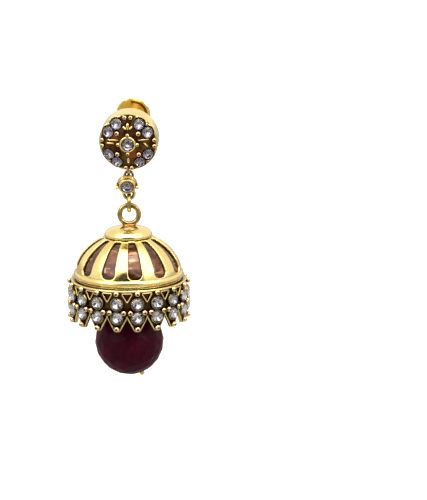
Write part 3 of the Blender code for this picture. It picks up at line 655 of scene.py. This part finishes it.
def stud_cup():
    """The cup with its uneven ground, which takes the next finish in the list."""
    points = [(0.0, 0.0, relief(0.0, 0.0))]
    rows = [[0] * STUD_SEGMENTS]
    slots = []
    for index in range(STUD_FACE_ROWS):
        radius = STUD_FACE_EDGE * (index + 1) / STUD_FACE_ROWS
        row = add_circle(points, STUD_SEGMENTS, radius, 0.0)
        for corner in row:
            x, y = points[corner][:2]
            points[corner] = (x, y, relief(x, y))
        rows.append(row)
        slots.append(1 if radius < STUD_GROUND_EDGE else 0)
    for radius, height in STUD_SIDE:
        rows.append(add_circle(points, STUD_SEGMENTS, radius * MM, height * MM))
        slots.append(0)
    return (points, *skin(rows, slots))


# The stud's leaves: direction, distance as a share of the stones' circle, turn, and length and width
# as shares of a stone's radius
LEAVES = (
    (0.0, 0.76, 0.0, 0.66, 0.28),
    (349.0, 0.71, 34.0, 0.46, 0.24),
    (11.0, 0.71, -34.0, 0.46, 0.24),
    (180.0, 0.78, 0.0, 0.62, 0.30),
    (75.0, 0.70, -12.0, 1.02, 0.19),
    (94.0, 0.78, -42.0, 0.60, 0.21),
    (284.0, 0.68, 14.0, 1.14, 0.19),
    (271.0, 0.78, 2.0, 0.82, 0.19),
)


def build_stud():
    Builder().add(stud_cup()).piece(
        "stud_cup", "stud", ["stud_setting"], "gold", [SMOOTH_GOLD, GROUND], STUD, 50.0)
    trim = Builder()
    grains = Builder()
    inner = CENTRE_STONE_RADIUS + 0.03 * MM
    top = STUD_RISE + COLLET_RISE
    trim.add(revolve([
        (inner, top - 0.04 * MM), (inner + 0.06 * MM, top), (inner + 0.20 * MM, top),
        (inner + 0.30 * MM, top - 0.09 * MM), (inner + 0.38 * MM, top - 0.30 * MM),
        (inner + 0.42 * MM, top - 0.9 * MM), (inner, top - 0.9 * MM),
    ], 64, closed=True))
    for quarter in (0.0, 90.0, 180.0, 270.0):
        grains.add(grain(0.34 * MM), on_face(quarter, 1.62 * MM, 0.42 * MM))
        grains.add(grain(0.44 * MM), on_face(quarter + 45.0, 2.55 * MM, 0.18 * MM))
        grains.add(grain(0.28 * MM), on_face(quarter + 45.0, 4.55 * MM, 0.11 * MM))
        for side in (-6.6, 6.6):
            grains.add(grain(0.38 * MM), on_face(quarter + side, 4.40 * MM, 0.15 * MM))
    bud = ball(STUD_STONE_RADIUS, 24, 16)
    for degrees, share, turn, length, width in LEAVES:
        place = on_face(degrees, STUD_STONE_CIRCLE * share) @ turn_z(math.radians(turn))
        trim.add(bud, place @ stretch(width, length, 0.26))
    upright = STUD.to_3x3().inverted().to_4x4()
    loop = at(STUD_LOOP_SIDE, -STUD_RADIUS, -STUD_LOOP_SETBACK) @ upright
    hung = at(0.0, 0.0, -STUD_LOOP_RADIUS) @ turn_y(math.pi / 2.0)
    trim.add(torus(STUD_LOOP_RADIUS, STUD_LOOP_WIRE), loop @ hung)
    trim.piece("stud_trim", "stud", ["stud_setting"], "gold", [GOLD], STUD, 60.0)
    grains.piece("stud_grains", "stud", ["stud_setting"], "gold", [PINK, PAINTED_DARK_CENTRE], STUD, 60.0)
    post = rod(POST_RADIUS, POST_LENGTH + STUD_DEPTH / 2.0, 32, 0.1 * MM)
    Builder().add(post, at(0.0, POST_HEIGHT, -STUD_DEPTH / 2.0) @ turn_x(math.pi)).piece(
        "stud_post", "stud", ["stud_setting"], "gold", [SMOOTH_GOLD], STUD)
    centre = at(0.0, 0.0, STUD_RISE + COLLET_RISE * 0.75) @ turn_z(math.radians(12.0))
    set_stone("stud_centre_crystal", "stud", "stud_centre_stone", CENTRE_STONE_RADIUS, centre, STUD)
    for number, spot in enumerate(STONE_SPOTS, 1):
        turned = spot @ turn_z(math.radians(37.0 * number))
        set_stone(
            "stud_crystal_%d" % number, "stud", "stud_stone_%d" % number, STUD_STONE_RADIUS, turned, STUD)


# Ear nut

def curled_strip():
    """A strip with rounded edges, curled from the plate outwards and back towards the post."""
    steps = 56
    half = SCROLL_WALL / 2.0
    reach = NUT_HEIGHT / 2.0
    corner = 0.10 * MM
    outline = []
    for x, y, first in ((1, 1, 0.0), (-1, 1, 90.0), (-1, -1, 180.0), (1, -1, 270.0)):
        for turn in (0.0, 30.0, 60.0, 90.0):
            angle = math.radians(first + turn)
            outline.append((
                x * (half - corner) + corner * math.cos(angle),
                y * (reach - corner) + corner * math.sin(angle)))
    points = []
    rows = []
    for step in range(steps + 1):
        share = step / steps
        angle = math.pi / 2.0 - share * SCROLL_TURNS * 2.0 * math.pi
        radius = SCROLL_RADIUS + (SCROLL_END_RADIUS - SCROLL_RADIUS) * share - half
        row = []
        for out, along in outline:
            row.append(len(points))
            points.append(((radius + out) * math.cos(angle), (radius + out) * math.sin(angle), along))
        rows.append(row)
    faces, marks = skin(rows)
    return points, faces + [rows[0][::-1], rows[-1]], marks + [0, 0]


def build_nut():
    hole = POST_RADIUS + SEAT
    plate = revolve([
        (hole, -NUT_DISH), (NUT_RADIUS * 0.66, -NUT_DISH), (NUT_RADIUS * 0.82, -NUT_DISH * 0.8),
        (NUT_RADIUS - 0.08 * MM, 0.0), (NUT_RADIUS, -0.08 * MM), (NUT_RADIUS, -NUT_PLATE + 0.08 * MM),
        (NUT_RADIUS - 0.08 * MM, -NUT_PLATE), (NUT_RADIUS * 0.8, -NUT_DISH * 0.8 - NUT_PLATE),
        (NUT_RADIUS * 0.66, -NUT_DISH - NUT_PLATE), (hole, -NUT_DISH - NUT_PLATE),
    ], 72, closed=True)
    points, faces, marks = plate
    # Painted shadow: one side of the dish's slope takes the shadow gold, the other the antique gold
    for index, face in enumerate(faces):
        middle = sum((Vector(points[corner]) for corner in face), Vector()) / len(face)
        share = math.hypot(middle.x, middle.y) / NUT_RADIUS
        if 0.62 < share < 0.86 and middle.z > -NUT_DISH - NUT_PLATE / 2.0:
            marks[index] = 1 if -15.0 < math.degrees(math.atan2(middle.y, middle.x)) < 100.0 else 2
    depth = -NUT_DISH - NUT_PLATE / 2.0 - SCROLL_RADIUS
    right = at(hole + SCROLL_RADIUS, 0.0, depth) @ turn_x(math.pi / 2.0)
    place = STUD @ at(0.0, POST_HEIGHT, -STUD_DEPTH - LOBE_GAP)
    nut = Builder().add(plate).add(curled_strip(), right).add(curled_strip(), turn_z(math.pi) @ right)
    nut.piece("butterfly_nut", "stud", ["ear_nut"], "gold", [SMOOTH_GOLD, SHADOW, GOLD], place)


# Jewelled link

def build_link():
    inner = LINK_STONE_RADIUS + 0.04 * MM
    front = LINK_STONE_RADIUS + SEAT + LINK_WALL
    middle = front + LINK_STEP
    back = middle + LINK_STEP
    depth = LINK_CUP_DEPTH
    reach = back * math.cos(LINK_DROOP) - depth * math.sin(LINK_DROOP)
    drop = LINK_LENGTH - LINK_BOTTOM_WIRE / 2.0 - SEAT - JUMP_WIRE - LINK_CLEARANCE - reach
    cup = at(LINK_STONE_SIDE, -LINK_FORWARD, -drop) @ turn_x(math.pi / 2.0 + LINK_DROOP)
    profile = [
        (0.0, -0.70 * depth), (inner, -0.70 * depth), (inner, 0.02 * depth),
        (inner + 0.05 * MM, 0.06 * depth), (front - 0.10 * MM, 0.06 * depth),
        (front - 0.03 * MM, 0.03 * depth), (front, -0.06 * depth),
        (front, -0.36 * depth), (front + 0.04 * MM, -0.40 * depth), (middle - 0.04 * MM, -0.42 * depth),
        (middle, -0.46 * depth), (middle, -0.64 * depth), (middle + 0.04 * MM, -0.70 * depth),
        (back - 0.04 * MM, -0.72 * depth), (back, -0.76 * depth), (back, -0.95 * depth),
        (back - 0.06 * MM, -depth), (0.0, -depth),
    ]
    upright = turn_x(math.pi / 2.0)
    bottom_loop = -LINK_LENGTH + LINK_BOTTOM_RADIUS
    stem_bottom = bottom_loop + LINK_BOTTOM_RADIUS
    boss_length = LINK_FORWARD / math.cos(LINK_DROOP) - depth * 0.8 + 0.34 * MM
    # The strips in the cup's two steps take the shadow gold, painted shadow; the boss takes the darker dull
    # gold, painted shade
    steps = (7, 8, 12, 13)  # the strips of the profile that lie in the cup's two steps
    slots = [1 if index in steps else 0 for index in range(len(profile) - 1)]
    setting = Builder().add(revolve(profile, 64, slots=slots), cup)
    setting.add(torus(LINK_TOP_RADIUS, LINK_WIRE), at(0.0, 0.0, -LINK_TOP_RADIUS) @ upright)
    setting.add(torus(LINK_BOTTOM_RADIUS, LINK_BOTTOM_WIRE), at(0.0, 0.0, bottom_loop) @ upright)
    setting.add(rod(0.34 * MM, -2.0 * LINK_TOP_RADIUS - stem_bottom), at(0.0, 0.0, stem_bottom))
    boss = cup @ at(0.0, 0.0, -depth * 0.8) @ turn_x(math.pi)
    setting.add(rod(0.70 * MM, boss_length, 32, 0.1 * MM), boss, 2)
    for side in (-1.0, 1.0):
        setting.add(rod(0.20 * MM, depth * 0.9, 16), cup @ at(side * PRONG_SPREAD, 0.0, -depth * 0.85))
        setting.add(ball(0.32 * MM, 24, 16), cup @ at(side * PRONG_SPREAD, 0.0, 0.10 * MM))
    setting.piece("link_cup", "link", ["link_setting"], "gold", [GOLD, SHADOW, SHADED_DULL_GOLD], LINK, 50.0)
    stone = cup @ at(0.0, 0.0, LINK_STONE_RADIUS * 0.12) @ turn_z(math.radians(20.0))
    set_stone("link_crystal", "link", "link_stone", LINK_STONE_RADIUS, stone, LINK)
    # The jump ring takes the darker dull gold: painted shade
    Builder().add(torus(JUMP_RADIUS, JUMP_WIRE), at(0.0, 0.0, JUMP_Z) @ turn_y(math.pi / 2.0)).piece(
        "jump_ring_wire", "link", ["jump_ring"], "gold", [SHADED_DULL_GOLD], LINK)


# Bell cap

def build_cap():
    profile = [(0.0, CAP_TOP)]
    for step in range(1, 25):
        angle = step / 24.0 * math.pi / 2.0
        profile.append((CAP_RADIUS * math.sin(angle) ** 0.85, CAP_FOOT + CAP_RISE * math.cos(angle)))
    eye = dome_outer(DOME_EYE_RADIUS) + SEAT
    hole = PIN_RADIUS + SEAT
    profile += [
        (CAP_RADIUS - 0.01 * MM, CAP_FOOT - CAP_LIP * 0.5),
        (CAP_RADIUS - 0.06 * MM, CAP_FOOT - CAP_LIP * 0.85),
        (CAP_RADIUS - 0.14 * MM, CAP_FOOT - CAP_LIP),
        (CAP_RADIUS - CAP_LIP, dome_outer(CAP_RADIUS - CAP_LIP) + SEAT),
        (DOME_EYE_RADIUS - SEAT, eye), (SOCKET_RADIUS, eye), (SOCKET_RADIUS, eye - SOCKET_LENGTH),
        (hole, eye - SOCKET_LENGTH), (hole, eye + 2.0 * SEAT), (0.0, eye + 2.0 * SEAT),
    ]
    cap = Builder().add(revolve(profile, 120))
    # The ring takes the darker dull gold: painted shade
    cap.add(torus(RING_RADIUS, RING_WIRE, 96, 28), at(RING_SIDE, 0.0, RING_HEIGHT) @ turn_x(math.pi / 2.0), 1)
    points, faces, marks = ball(RING_WIRE, 40, 24)
    lumpy = []
    for point in map(Vector, points):
        swell = 1.0 + 0.16 * noise.noise(point * 1400.0 + Vector((3.1, 0.4, 7.7)))
        lumpy.append(point * swell)
    cap.add((lumpy, faces, marks), at(RING_SIDE, 0.0, CAP_TOP) @ stretch(1.35, 0.85, 0.42), 2)
    cap.piece("bell_cap_metal", "bell", ["bell_cap"], "gold", [SMOOTH_GOLD, SHADED_DULL_GOLD, SOLDER], BELL, 50.0)


# Ribbed dome

def dome_point(angle, rise, lift):
    """A point on the dome. Angle 0 is the front and grows to the right; rise is the ellipse's own angle."""
    out = Vector((DOME_HEIGHT * math.cos(rise), DOME_RADIUS * math.sin(rise))).normalized() * lift
    radius = DOME_RADIUS * math.cos(rise) + out.x
    return (radius * math.sin(angle), -radius * math.cos(angle), DOME_HEIGHT * math.sin(rise) + out.y)


def slit_outline(low, high, half):
    """The slit's edge in angle and rise, from the middle of its lower end and round to the right."""
    def rounding(rise, size):
        along = math.hypot(DOME_RADIUS * math.sin(rise), DOME_HEIGHT * math.cos(rise))
        return size / (DOME_RADIUS * math.cos(rise)), size / along

    wide, tall = rounding(low, 0.95 * MM)
    narrow, short = rounding(high, 0.32 * MM)
    right = [(0.0, low), ((half - wide) * 0.5, low)]
    for step in range(9):
        angle = math.pi / 2.0 * step / 8
        right.append((half - wide + wide * math.sin(angle), low + tall - tall * math.cos(angle)))
    for step in range(1, 18):
        right.append((half, low + tall + (high - short - low - tall) * step / 18))
    for step in range(6):
        angle = math.pi / 2.0 * step / 5
        right.append((half - narrow + narrow * math.cos(angle), high - short + short * math.sin(angle)))
    right += [((half - narrow) * 0.5, high), (0.0, high)]
    return right + [(-x, y) for x, y in right[-2:0:-1]]


def dome_shell():
    """One twelfth of the dome's outside, with its sunk panel."""
    half = SLIT_SHARE * math.pi / SLIT_COUNT
    side = math.pi / SLIT_COUNT
    low, high = math.asin(SLIT_BOTTOM / DOME_HEIGHT), math.acos(SLIT_TOP_RADIUS / DOME_RADIUS)
    base, top = math.asin(0.55 * BAND_TOP / DOME_HEIGHT), math.acos(DOME_EYE_RADIUS / DOME_RADIUS)
    edge = slit_outline(low, high, half)
    frame_edge = []
    for angle, rise in edge:
        p, q = angle / half, (rise - (low + high) / 2.0) / ((high - low) / 2.0)
        scale = 1.0 / max(abs(p), abs(q))
        frame_edge.append((p * scale * side, (base + top) / 2.0 + q * scale * (top - base) / 2.0))
    rounding = 0.18 * MM
    points = []
    count = len(edge)
    rows = []
    for share in (0.0, 0.03, 0.07, 0.13, 0.21, 0.32, 0.46, 0.62, 0.80, 1.0):
        row = []
        for (a, b), (c, d) in zip(edge, frame_edge):
            angle, rise = a + (c - a) * share, b + (d - b) * share
            away = (Vector(dome_point(angle, rise, 0.0)) - Vector(dome_point(a, b, 0.0))).length
            left = 1.0 - min(away / rounding, 1.0)
            drop = rounding * (1.0 - math.sqrt(max(1.0 - left * left, 0.0)))
            row.append(len(points))
            points.append(dome_point(angle, rise, -drop))
        rows.append(row)
    faces, marks = skin(rows)
    # The panels' walls take the shaded inside gold: painted dark outlines round the panels
    foot = []
    for angle, rise in edge:
        foot.append(len(points))
        points.append(dome_point(angle, rise, -SLIT_DEPTH))
    for index in range(count):
        after = (index + 1) % count
        faces.append([rows[0][index], foot[index], foot[after], rows[0][after]])
        marks.append(1)

    right = [(angle, rise) for angle, rise in edge[:count // 2 + 1] if angle >= half * 0.3]
    across = [step / 5.0 - 1.0 for step in range(11)]
    previous = None
    for angle, rise in right:
        row = []
        for share in across:
            x, y, z = dome_point(angle * share, rise, -SLIT_DEPTH)
            rough = noise.noise(Vector((x * 900.0, y * 900.0, z * 2600.0)) + Vector((1.7, 5.2, 0.3)))
            lift = 0.055 * MM * rough * (1.0 - abs(share) ** 4) * smooth_step(low, low + 0.1, rise)
            row.append(len(points))
            points.append(dome_point(angle * share, rise, lift - SLIT_DEPTH))
        if previous:
            for column in range(len(across) - 1):
                faces.append([previous[column], previous[column + 1], row[column + 1], row[column]])
                marks.append(2)
        previous = row
    return points, faces, marks


def build_dome():
    inner = BAND_RADIUS - BAND_WALL
    band = [(inner, 0.62 * BAND_TOP), (DOME_RADIUS - 0.05 * MM, BAND_TOP)]
    slots = [1, 0]
    for step in range(11):
        angle = math.radians(BAND_ARC - 2.0 * BAND_ARC * step / 10)
        out = BAND_RADIUS - BAND_BULGE + BAND_BULGE * math.cos(angle)
        band.append((out, 0.08 * MM + 0.68 * MM * math.sin(angle)))
        slots.append(0)
    band += [(DOME_RADIUS, -BAND_BOTTOM), (inner, -BAND_BOTTOM)]
    slots += [0, 1]
    dome = Builder().add(revolve(band, 180, closed=True, slots=slots))
    sector = dome_shell()
    for index in range(SLIT_COUNT):
        dome.add(sector, turn_z(SLIT_FIRST + 2.0 * math.pi * index / SLIT_COUNT))
    within = DOME_RADIUS - DOME_WALL
    eye = math.acos(DOME_EYE_RADIUS / within)
    lining = [(DOME_EYE_RADIUS, dome_outer(DOME_EYE_RADIUS))]
    for step in range(25):
        rise = eye * (1.0 - step / 24.0)
        lining.append((within * math.cos(rise), (DOME_HEIGHT - DOME_WALL) * math.sin(rise)))
    lining.append((inner, 0.0))
    dome.add(revolve(lining, 96), slot=1)
    dome.piece("ribbed_dome", "bell", ["dome"], "gold", [SMOOTH_GOLD, SHADED_INSIDE, RECESS], BELL, 50.0, weld=True)


# Jewelled skirt

PITCH = 2.0 * math.pi / CELL_COUNT
STRIP_TOP = -BAND_BOTTOM - SEAT
STRIP_FLOOR = STRIP_TOP - SKIRT_HEIGHT
WINDOW_TOP = STRIP_TOP - SKIRT_RAIL - 0.06 * MM
HALF_CELL = math.pi * SKIRT_RADIUS / CELL_COUNT
PLATE_RADIUS = SKIRT_RADIUS - 0.18 * MM


def around(angle, radius, height):
    """A place on the skirt with +Z pointing outwards and +Y up."""
    return turn_z(angle) @ at(0.0, -radius, height) @ turn_x(math.pi / 2.0)


def wrapped(across, height, radius):
    """A point of the flat pattern laid round the skirt."""
    angle = across / SKIRT_RADIUS
    return Vector((radius * math.sin(angle), -radius * math.cos(angle), height))


def plate_edge(height):
    """Half the width of a cell's plate at a height."""
    if height > WINDOW_TIP_Z:
        return HALF_CELL - WINDOW_WIDTH / 2.0 * (height - WINDOW_TIP_Z) / (WINDOW_TOP - WINDOW_TIP_Z)
    if height > NOTCH_TIP_Z:
        return HALF_CELL
    share = (NOTCH_TIP_Z - height) / (NOTCH_TIP_Z - STRIP_FLOOR)
    return HALF_CELL + (POINT_WIDTH / 2.0 - HALF_CELL) * share


def cell_plate():
    """One cell's plate, open at the sides where it runs into its neighbours."""
    heights = [WINDOW_TOP + 0.10 * MM]
    for start, end, steps in (
        (WINDOW_TOP, WINDOW_TIP_Z, 8), (WINDOW_TIP_Z, NOTCH_TIP_Z, 8), (NOTCH_TIP_Z, STRIP_FLOOR, 10),
    ):
        heights += [start + (end - start) * step / steps for step in range(steps)]
    heights.append(STRIP_FLOOR)
    columns = 12
    points, faces, marks = [], [], []
    sheets = []
    for radius in (PLATE_RADIUS, SKIRT_RADIUS - SKIRT_WALL):
        sheet = []
        for height in heights:
            edge = plate_edge(min(height, WINDOW_TOP))
            row = []
            for column in range(columns + 1):
                row.append(len(points))
                points.append(wrapped(edge * (2.0 * column / columns - 1.0), height, radius))
            sheet.append(row)
        sheets.append(sheet)
    front, back = sheets
    # The plate's front takes the dark plate gold and its back the inside gold, both painted shade
    for sheet, mark in ((front, 2), (back, 1)):
        for high, low in zip(sheet, sheet[1:]):
            for column in range(columns):
                faces.append([high[column], low[column], low[column + 1], high[column + 1]])
                marks.append(mark)
    for index in range(len(heights) - 1):
        middle = (heights[index] + heights[index + 1]) / 2.0
        if WINDOW_TIP_Z > middle > NOTCH_TIP_Z:
            continue
        above, below = (front[index], back[index]), (front[index + 1], back[index + 1])
        for column in (0, columns):
            faces.append([above[0][column], above[1][column], below[1][column], below[0][column]])
            marks.append(0)
    for outer, inner in ((front[0], back[0]), (front[-1], back[-1])):
        for column in range(columns):
            faces.append([outer[column], outer[column + 1], inner[column + 1], inner[column]])
            marks.append(0)
    return points, faces, marks


def rounded_path(corners, radius, steps=4):
    """A closed path through corners in the flat pattern, each rounded."""
    path = []
    count = len(corners)
    for index, corner in enumerate(corners):
        corner = Vector(corner)
        before = (Vector(corners[index - 1]) - corner).normalized()
        after = (Vector(corners[(index + 1) % count]) - corner).normalized()
        start, end = corner + before * radius, corner + after * radius
        for step in range(steps + 1):
            share = step / steps
            path.append(start * (1 - share) ** 2 + corner * (2 * share * (1 - share)) + end * share ** 2)
    return path


def build_skirt():
    strip = Builder()
    plate = cell_plate()
    for index in range(CELL_COUNT):
        strip.add(plate, turn_z(CELL_FIRST + PITCH * index))
    inner, outer = SKIRT_RADIUS - SKIRT_WALL, SKIRT_RADIUS + 0.10 * MM
    middle = STRIP_TOP - SKIRT_RAIL / 2.0
    rail = [(inner, STRIP_TOP), (SKIRT_RADIUS - 0.12 * MM, STRIP_TOP)]
    slots = [0, 0]
    for step in range(9):
        angle = math.radians(90.0 - 180.0 * step / 8)
        out = outer - 0.20 * MM + 0.20 * MM * math.cos(angle)
        rail.append((out, middle + SKIRT_RAIL / 2.0 * math.sin(angle)))
        slots.append(0)
    rail.append((inner, STRIP_TOP - SKIRT_RAIL - 0.06 * MM))
    slots.append(1)
    strip.add(revolve(rail, 144, closed=True, slots=slots))
    # Sunk panels shut the windows: painted maroon shade on their fronts, and the shaded inside gold on their
    # walls
    sunk, within = SKIRT_RADIUS - WINDOW_DEPTH, inner + 0.02 * MM
    high, low = WINDOW_TOP + 0.02 * MM, WINDOW_TIP_Z - 0.1 * MM
    panel = [(sunk, high), (sunk, low), (within, low), (within, high)]
    strip.add(revolve(panel, 144, closed=True, slots=[3, 1, 1, 1]))
    finishes = [GOLD, SHADED_INSIDE, SHADED_PLATE, MAROON_SHADE]
    strip.piece("skirt_strip", "bell", ["skirt"], "gold", finishes, BELL, 40.0, weld=True)

    wires = Builder()
    window_top = WINDOW_TOP - 0.08 * MM
    half = WINDOW_WIDTH / 2.0
    window = rounded_path([(-half, window_top), (half, window_top), (0.0, WINDOW_TIP_Z)], 0.32 * MM, 5)
    window = [wrapped(x, y, SKIRT_RADIUS - 0.06 * MM) for x, y in window]
    window = tube(window, WINDOW_WIRE, 10, closed=True)
    point = []
    for side in (-1.0, 1.0):
        leg = []
        for step in range(9):
            height = NOTCH_TIP_Z + 0.28 * MM + (STRIP_FLOOR + 0.20 * MM - NOTCH_TIP_Z - 0.28 * MM) * step / 8
            leg.append((side * (plate_edge(height) - 0.04 * MM), height))
        point.append(leg)
    bottom = [(x * MM, STRIP_FLOOR + lift * MM) for x, lift in ((-0.20, 0.08), (0.0, 0.06), (0.20, 0.08))]
    border = point[0] + bottom + point[1][::-1]
    border = tube([wrapped(x, y, SKIRT_RADIUS - 0.04 * MM) for x, y in border], BORDER_WIRE, 10)
    collar = revolve([
        (1.02 * MM, -0.42 * MM), (1.02 * MM, -0.06 * MM), (1.05 * MM, -0.02 * MM), (1.11 * MM, -0.02 * MM),
        (1.15 * MM, -0.07 * MM), (1.18 * MM, -0.42 * MM),
    ], 32, closed=True)
    balls = Builder()
    stones = Builder()
    stone = cut_stone(SKIRT_STONE_RADIUS, SKIRT_STONE_DEPTH)
    pitted = grain(BALL_RADIUS, 20, 12)
    backing = ball(0.86 * MM, 16, 10)
    spread = MIDDLE_BALL_SPREAD / BALL_CIRCLE
    for index in range(CELL_COUNT):
        angle = CELL_FIRST + PITCH * index
        wires.add(window, turn_z(angle + PITCH / 2.0))
        wires.add(border, turn_z(angle))
        for number, height in enumerate((UPPER_STONE_Z, LOWER_STONE_Z)):
            spot = around(angle, SKIRT_RADIUS + SKIRT_STONE_LIFT, height)
            stones.add(stone, spot @ turn_z(math.radians(29.0 * (2 * index + number))))
            # Each stone's collar takes the darker dull gold and its backing the shaded inside gold: painted
            # shade round and behind the stones
            wires.add(collar, spot, 2)
            wires.add(backing, around(angle, SKIRT_RADIUS - SKIRT_WALL, height) @ stretch(1.0, 1.0, 0.30), 1)
        for height in (TOP_BALL_Z, BOTTOM_BALL_Z):
            balls.add(pitted, around(angle, BALL_CIRCLE, height))
        for side in (-spread, spread):
            balls.add(pitted, around(angle + PITCH / 2.0 + side, BALL_CIRCLE, MIDDLE_BALL_Z))
    wires.piece("skirt_wires", "bell", ["skirt"], "gold", [GOLD, SHADED_INSIDE, SHADED_DULL_GOLD], BELL, 50.0)
    balls.piece("skirt_balls", "bell", ["skirt"], "gold", [PINK, PAINTED_DARK_CENTRE], BELL, 60.0)
    stones.piece("skirt_crystals", "bell", ["skirt"], "crystal", [CRYSTAL, FOIL], BELL, 0.0)


# Bead and pin

def bead_shape():
    """A round bead cut in rows of flat facets, each row half a facet on from the last, and drilled."""
    first = math.asin(BEAD_HOLE / BEAD_RADIUS)
    points, faces = [], []
    rings = []
    for row in range(BEAD_ROWS):
        angle = first + (math.pi - 2.0 * first) * row / (BEAD_ROWS - 1)
        shift = math.pi / BEAD_SIDES * (row % 2)
        radius, height = BEAD_RADIUS * math.sin(angle), BEAD_RADIUS * math.cos(angle)
        rings.append(add_circle(points, BEAD_SIDES, radius, height, shift))
    for row, (low, high) in enumerate(zip(rings, rings[1:])):
        for side in range(BEAD_SIDES):
            after = (side + 1) % BEAD_SIDES
            if row % 2 == 0:
                faces.append([low[side], high[side], low[after]])
                faces.append([low[after], high[side], high[after]])
            else:
                faces.append([low[side], high[side], high[after]])
                faces.append([low[side], high[after], low[after]])
    faces += between(rings[0], rings[-1])
    return points, faces, [0] * len(faces)


def build_bead():
    place = BELL @ at(0.0, 0.0, BEAD_Z) @ turn_y(-BEAD_TILT)
    bead = Builder().add(bead_shape()).piece(
        "wine_bead", "bell", ["ruby_bead"], "wine_stone", [WINE], place, 0.0)
    soft = bead.modifiers.new("soft edges", "BEVEL")
    soft.width = 0.10 * MM
    soft.segments = 2
    soft.limit_method = "ANGLE"
    soft.angle_limit = math.radians(4.0)
    soft.harden_normals = False


def build_pin():
    middle = Vector((0.0, 0.0, BEAD_Z))
    up = Vector((-math.sin(BEAD_TILT), 0.0, math.cos(BEAD_TILT)))
    socket_top = dome_outer(DOME_EYE_RADIUS) + SEAT
    start = middle - up * (BEAD_RADIUS + PIN_END)
    neck = middle + up * (BEAD_RADIUS + PIN_NECK)
    shoulder = Vector((0.0, 0.0, socket_top - SOCKET_LENGTH - PIN_STRAIGHT))
    pull = (shoulder - neck).length
    path = [start, start + up * 0.06 * MM, neck]
    for step in range(1, 28):
        share = step / 28
        rest = 1.0 - share
        path.append(
            neck * rest ** 3 + (neck + up * pull * 0.33) * (3.0 * rest ** 2 * share)
            + (shoulder - Vector((0.0, 0.0, pull * 0.4))) * (3.0 * rest * share ** 2) + shoulder * share ** 3
        )
    path += [shoulder, Vector((0.0, 0.0, socket_top))]
    widths = [0.86] + [1.0] * (len(path) - 1)
    Builder().add(tube(path, PIN_RADIUS, 24, widths=widths)).piece(
        "bead_pin_wire", "bell", ["bead_pin"], "gold", [GOLD], BELL, 40.0)


# Studio

def build_floor():
    """A sweep that is seen white, and is darker as a light and in reflections."""
    top = FLOOR_Z + SWEEP_RADIUS
    profile = [(-FLOOR_REACH, FLOOR_Z), (SWEEP_START, FLOOR_Z)]
    for step in range(1, 13):
        angle = math.pi / 2.0 * step / 12
        profile.append((SWEEP_START + SWEEP_RADIUS * math.sin(angle), top - SWEEP_RADIUS * math.cos(angle)))
    profile.append((SWEEP_START + SWEEP_RADIUS, SWEEP_TOP))
    points, faces = [], []
    for y, z in profile:
        points += [(-FLOOR_REACH, y, z), (FLOOR_REACH, y, z)]
    for first in range(0, len(points) - 2, 2):
        faces.append([first, first + 1, first + 3, first + 2])
    mesh = bpy.data.meshes.new("sweep")
    mesh.from_pydata(points, [], faces)
    mesh.shade_smooth()
    sweep = bpy.data.objects.new("sweep", mesh)
    bpy.context.scene.collection.objects.link(sweep)
    made = material("pale_paper")
    fill(made.shader, Roughness=0.9, Emission_Color=(1.0, 1.0, 1.0, 1.0))
    tone = made.mix(made.noise(14.0, 3.0), (0.30, 0.30, 0.29), (0.26, 0.26, 0.26))
    made.link(tone, made.shader.inputs["Base Color"])
    split = made.tree.nodes.new("ShaderNodeSeparateXYZ")
    made.link(made.place, split.inputs["Vector"])
    lit = made.ramp(split.outputs["Z"], FLOOR_Z + 0.01, FLOOR_Z + 0.20, 0.02, 0.62)
    made.link(made.math("MAXIMUM", lit, made.seen()), made.shader.inputs["Emission Strength"])
    mesh.materials.append(made.owner)


def build_light():
    """Bright from above, unlit behind the camera, and dim below the horizon, with three lamps."""
    world = bpy.data.worlds.new("studio")
    bpy.context.scene.world = world
    made = Nodes(world, "Generated")

    def glow(direction, low, high, first, last):
        """Brightness that changes with the angle from a direction."""
        towards = made.tree.nodes.new("ShaderNodeVectorMath")
        towards.operation = "DOT_PRODUCT"
        towards.inputs[1].default_value = Vector(direction).normalized()
        made.link(made.place, towards.inputs[0])
        return made.ramp(towards.outputs["Value"], low, high, first, last)

    above = glow((0.0, -0.62, 0.79), 0.46, 0.86, 0.96, 2.70)
    front = glow((0.0, -1.0, 0.03), 0.77, 0.90, 1.0, 0.015)
    below = glow((0.0, 0.0, -1.0), 0.02, 0.40, 1.0, 0.25)
    strength = made.math("MULTIPLY", made.math("MULTIPLY", above, front), below)
    background = made.tree.nodes["Background"]
    fill(background, Color=(1.0, 1.0, 1.0, 1.0))
    made.link(made.math("MAXIMUM", strength, made.seen()), background.inputs["Strength"])

    for name, place, size, power in LAMPS:
        lamp = bpy.data.lights.new(name, "AREA")
        lamp.shape = "SQUARE"
        lamp.size = size
        lamp.energy = power
        item = bpy.data.objects.new(name, lamp)
        bpy.context.scene.collection.objects.link(item)
        item.location = place
        aim = Vector(LAMP_AIM) - Vector(place)
        item.rotation_euler = aim.to_track_quat("-Z", "Y").to_euler()


def build_camera():
    """300 mm from the bell's band and 13.5 degrees above it, panned right to the photograph's middle."""
    lens = bpy.data.cameras.new("camera")
    lens.sensor_fit = "VERTICAL"
    lens.sensor_height = CAMERA_SENSOR
    lens.lens = CAMERA_LENS
    camera = bpy.data.objects.new("camera", lens)
    bpy.context.scene.collection.objects.link(camera)
    camera.location = BELL.translation + Vector(CAMERA_OFFSET)
    camera.rotation_euler = (math.radians(90.0 - CAMERA_DOWN), 0.0, -math.radians(CAMERA_PAN))
    bpy.context.scene.camera = camera


build_stud()
build_nut()
build_link()
build_cap()
build_dome()
build_skirt()
build_bead()
build_pin()
build_floor()
build_light()
build_camera()
bpy.context.scene.view_settings.view_transform = "Standard"
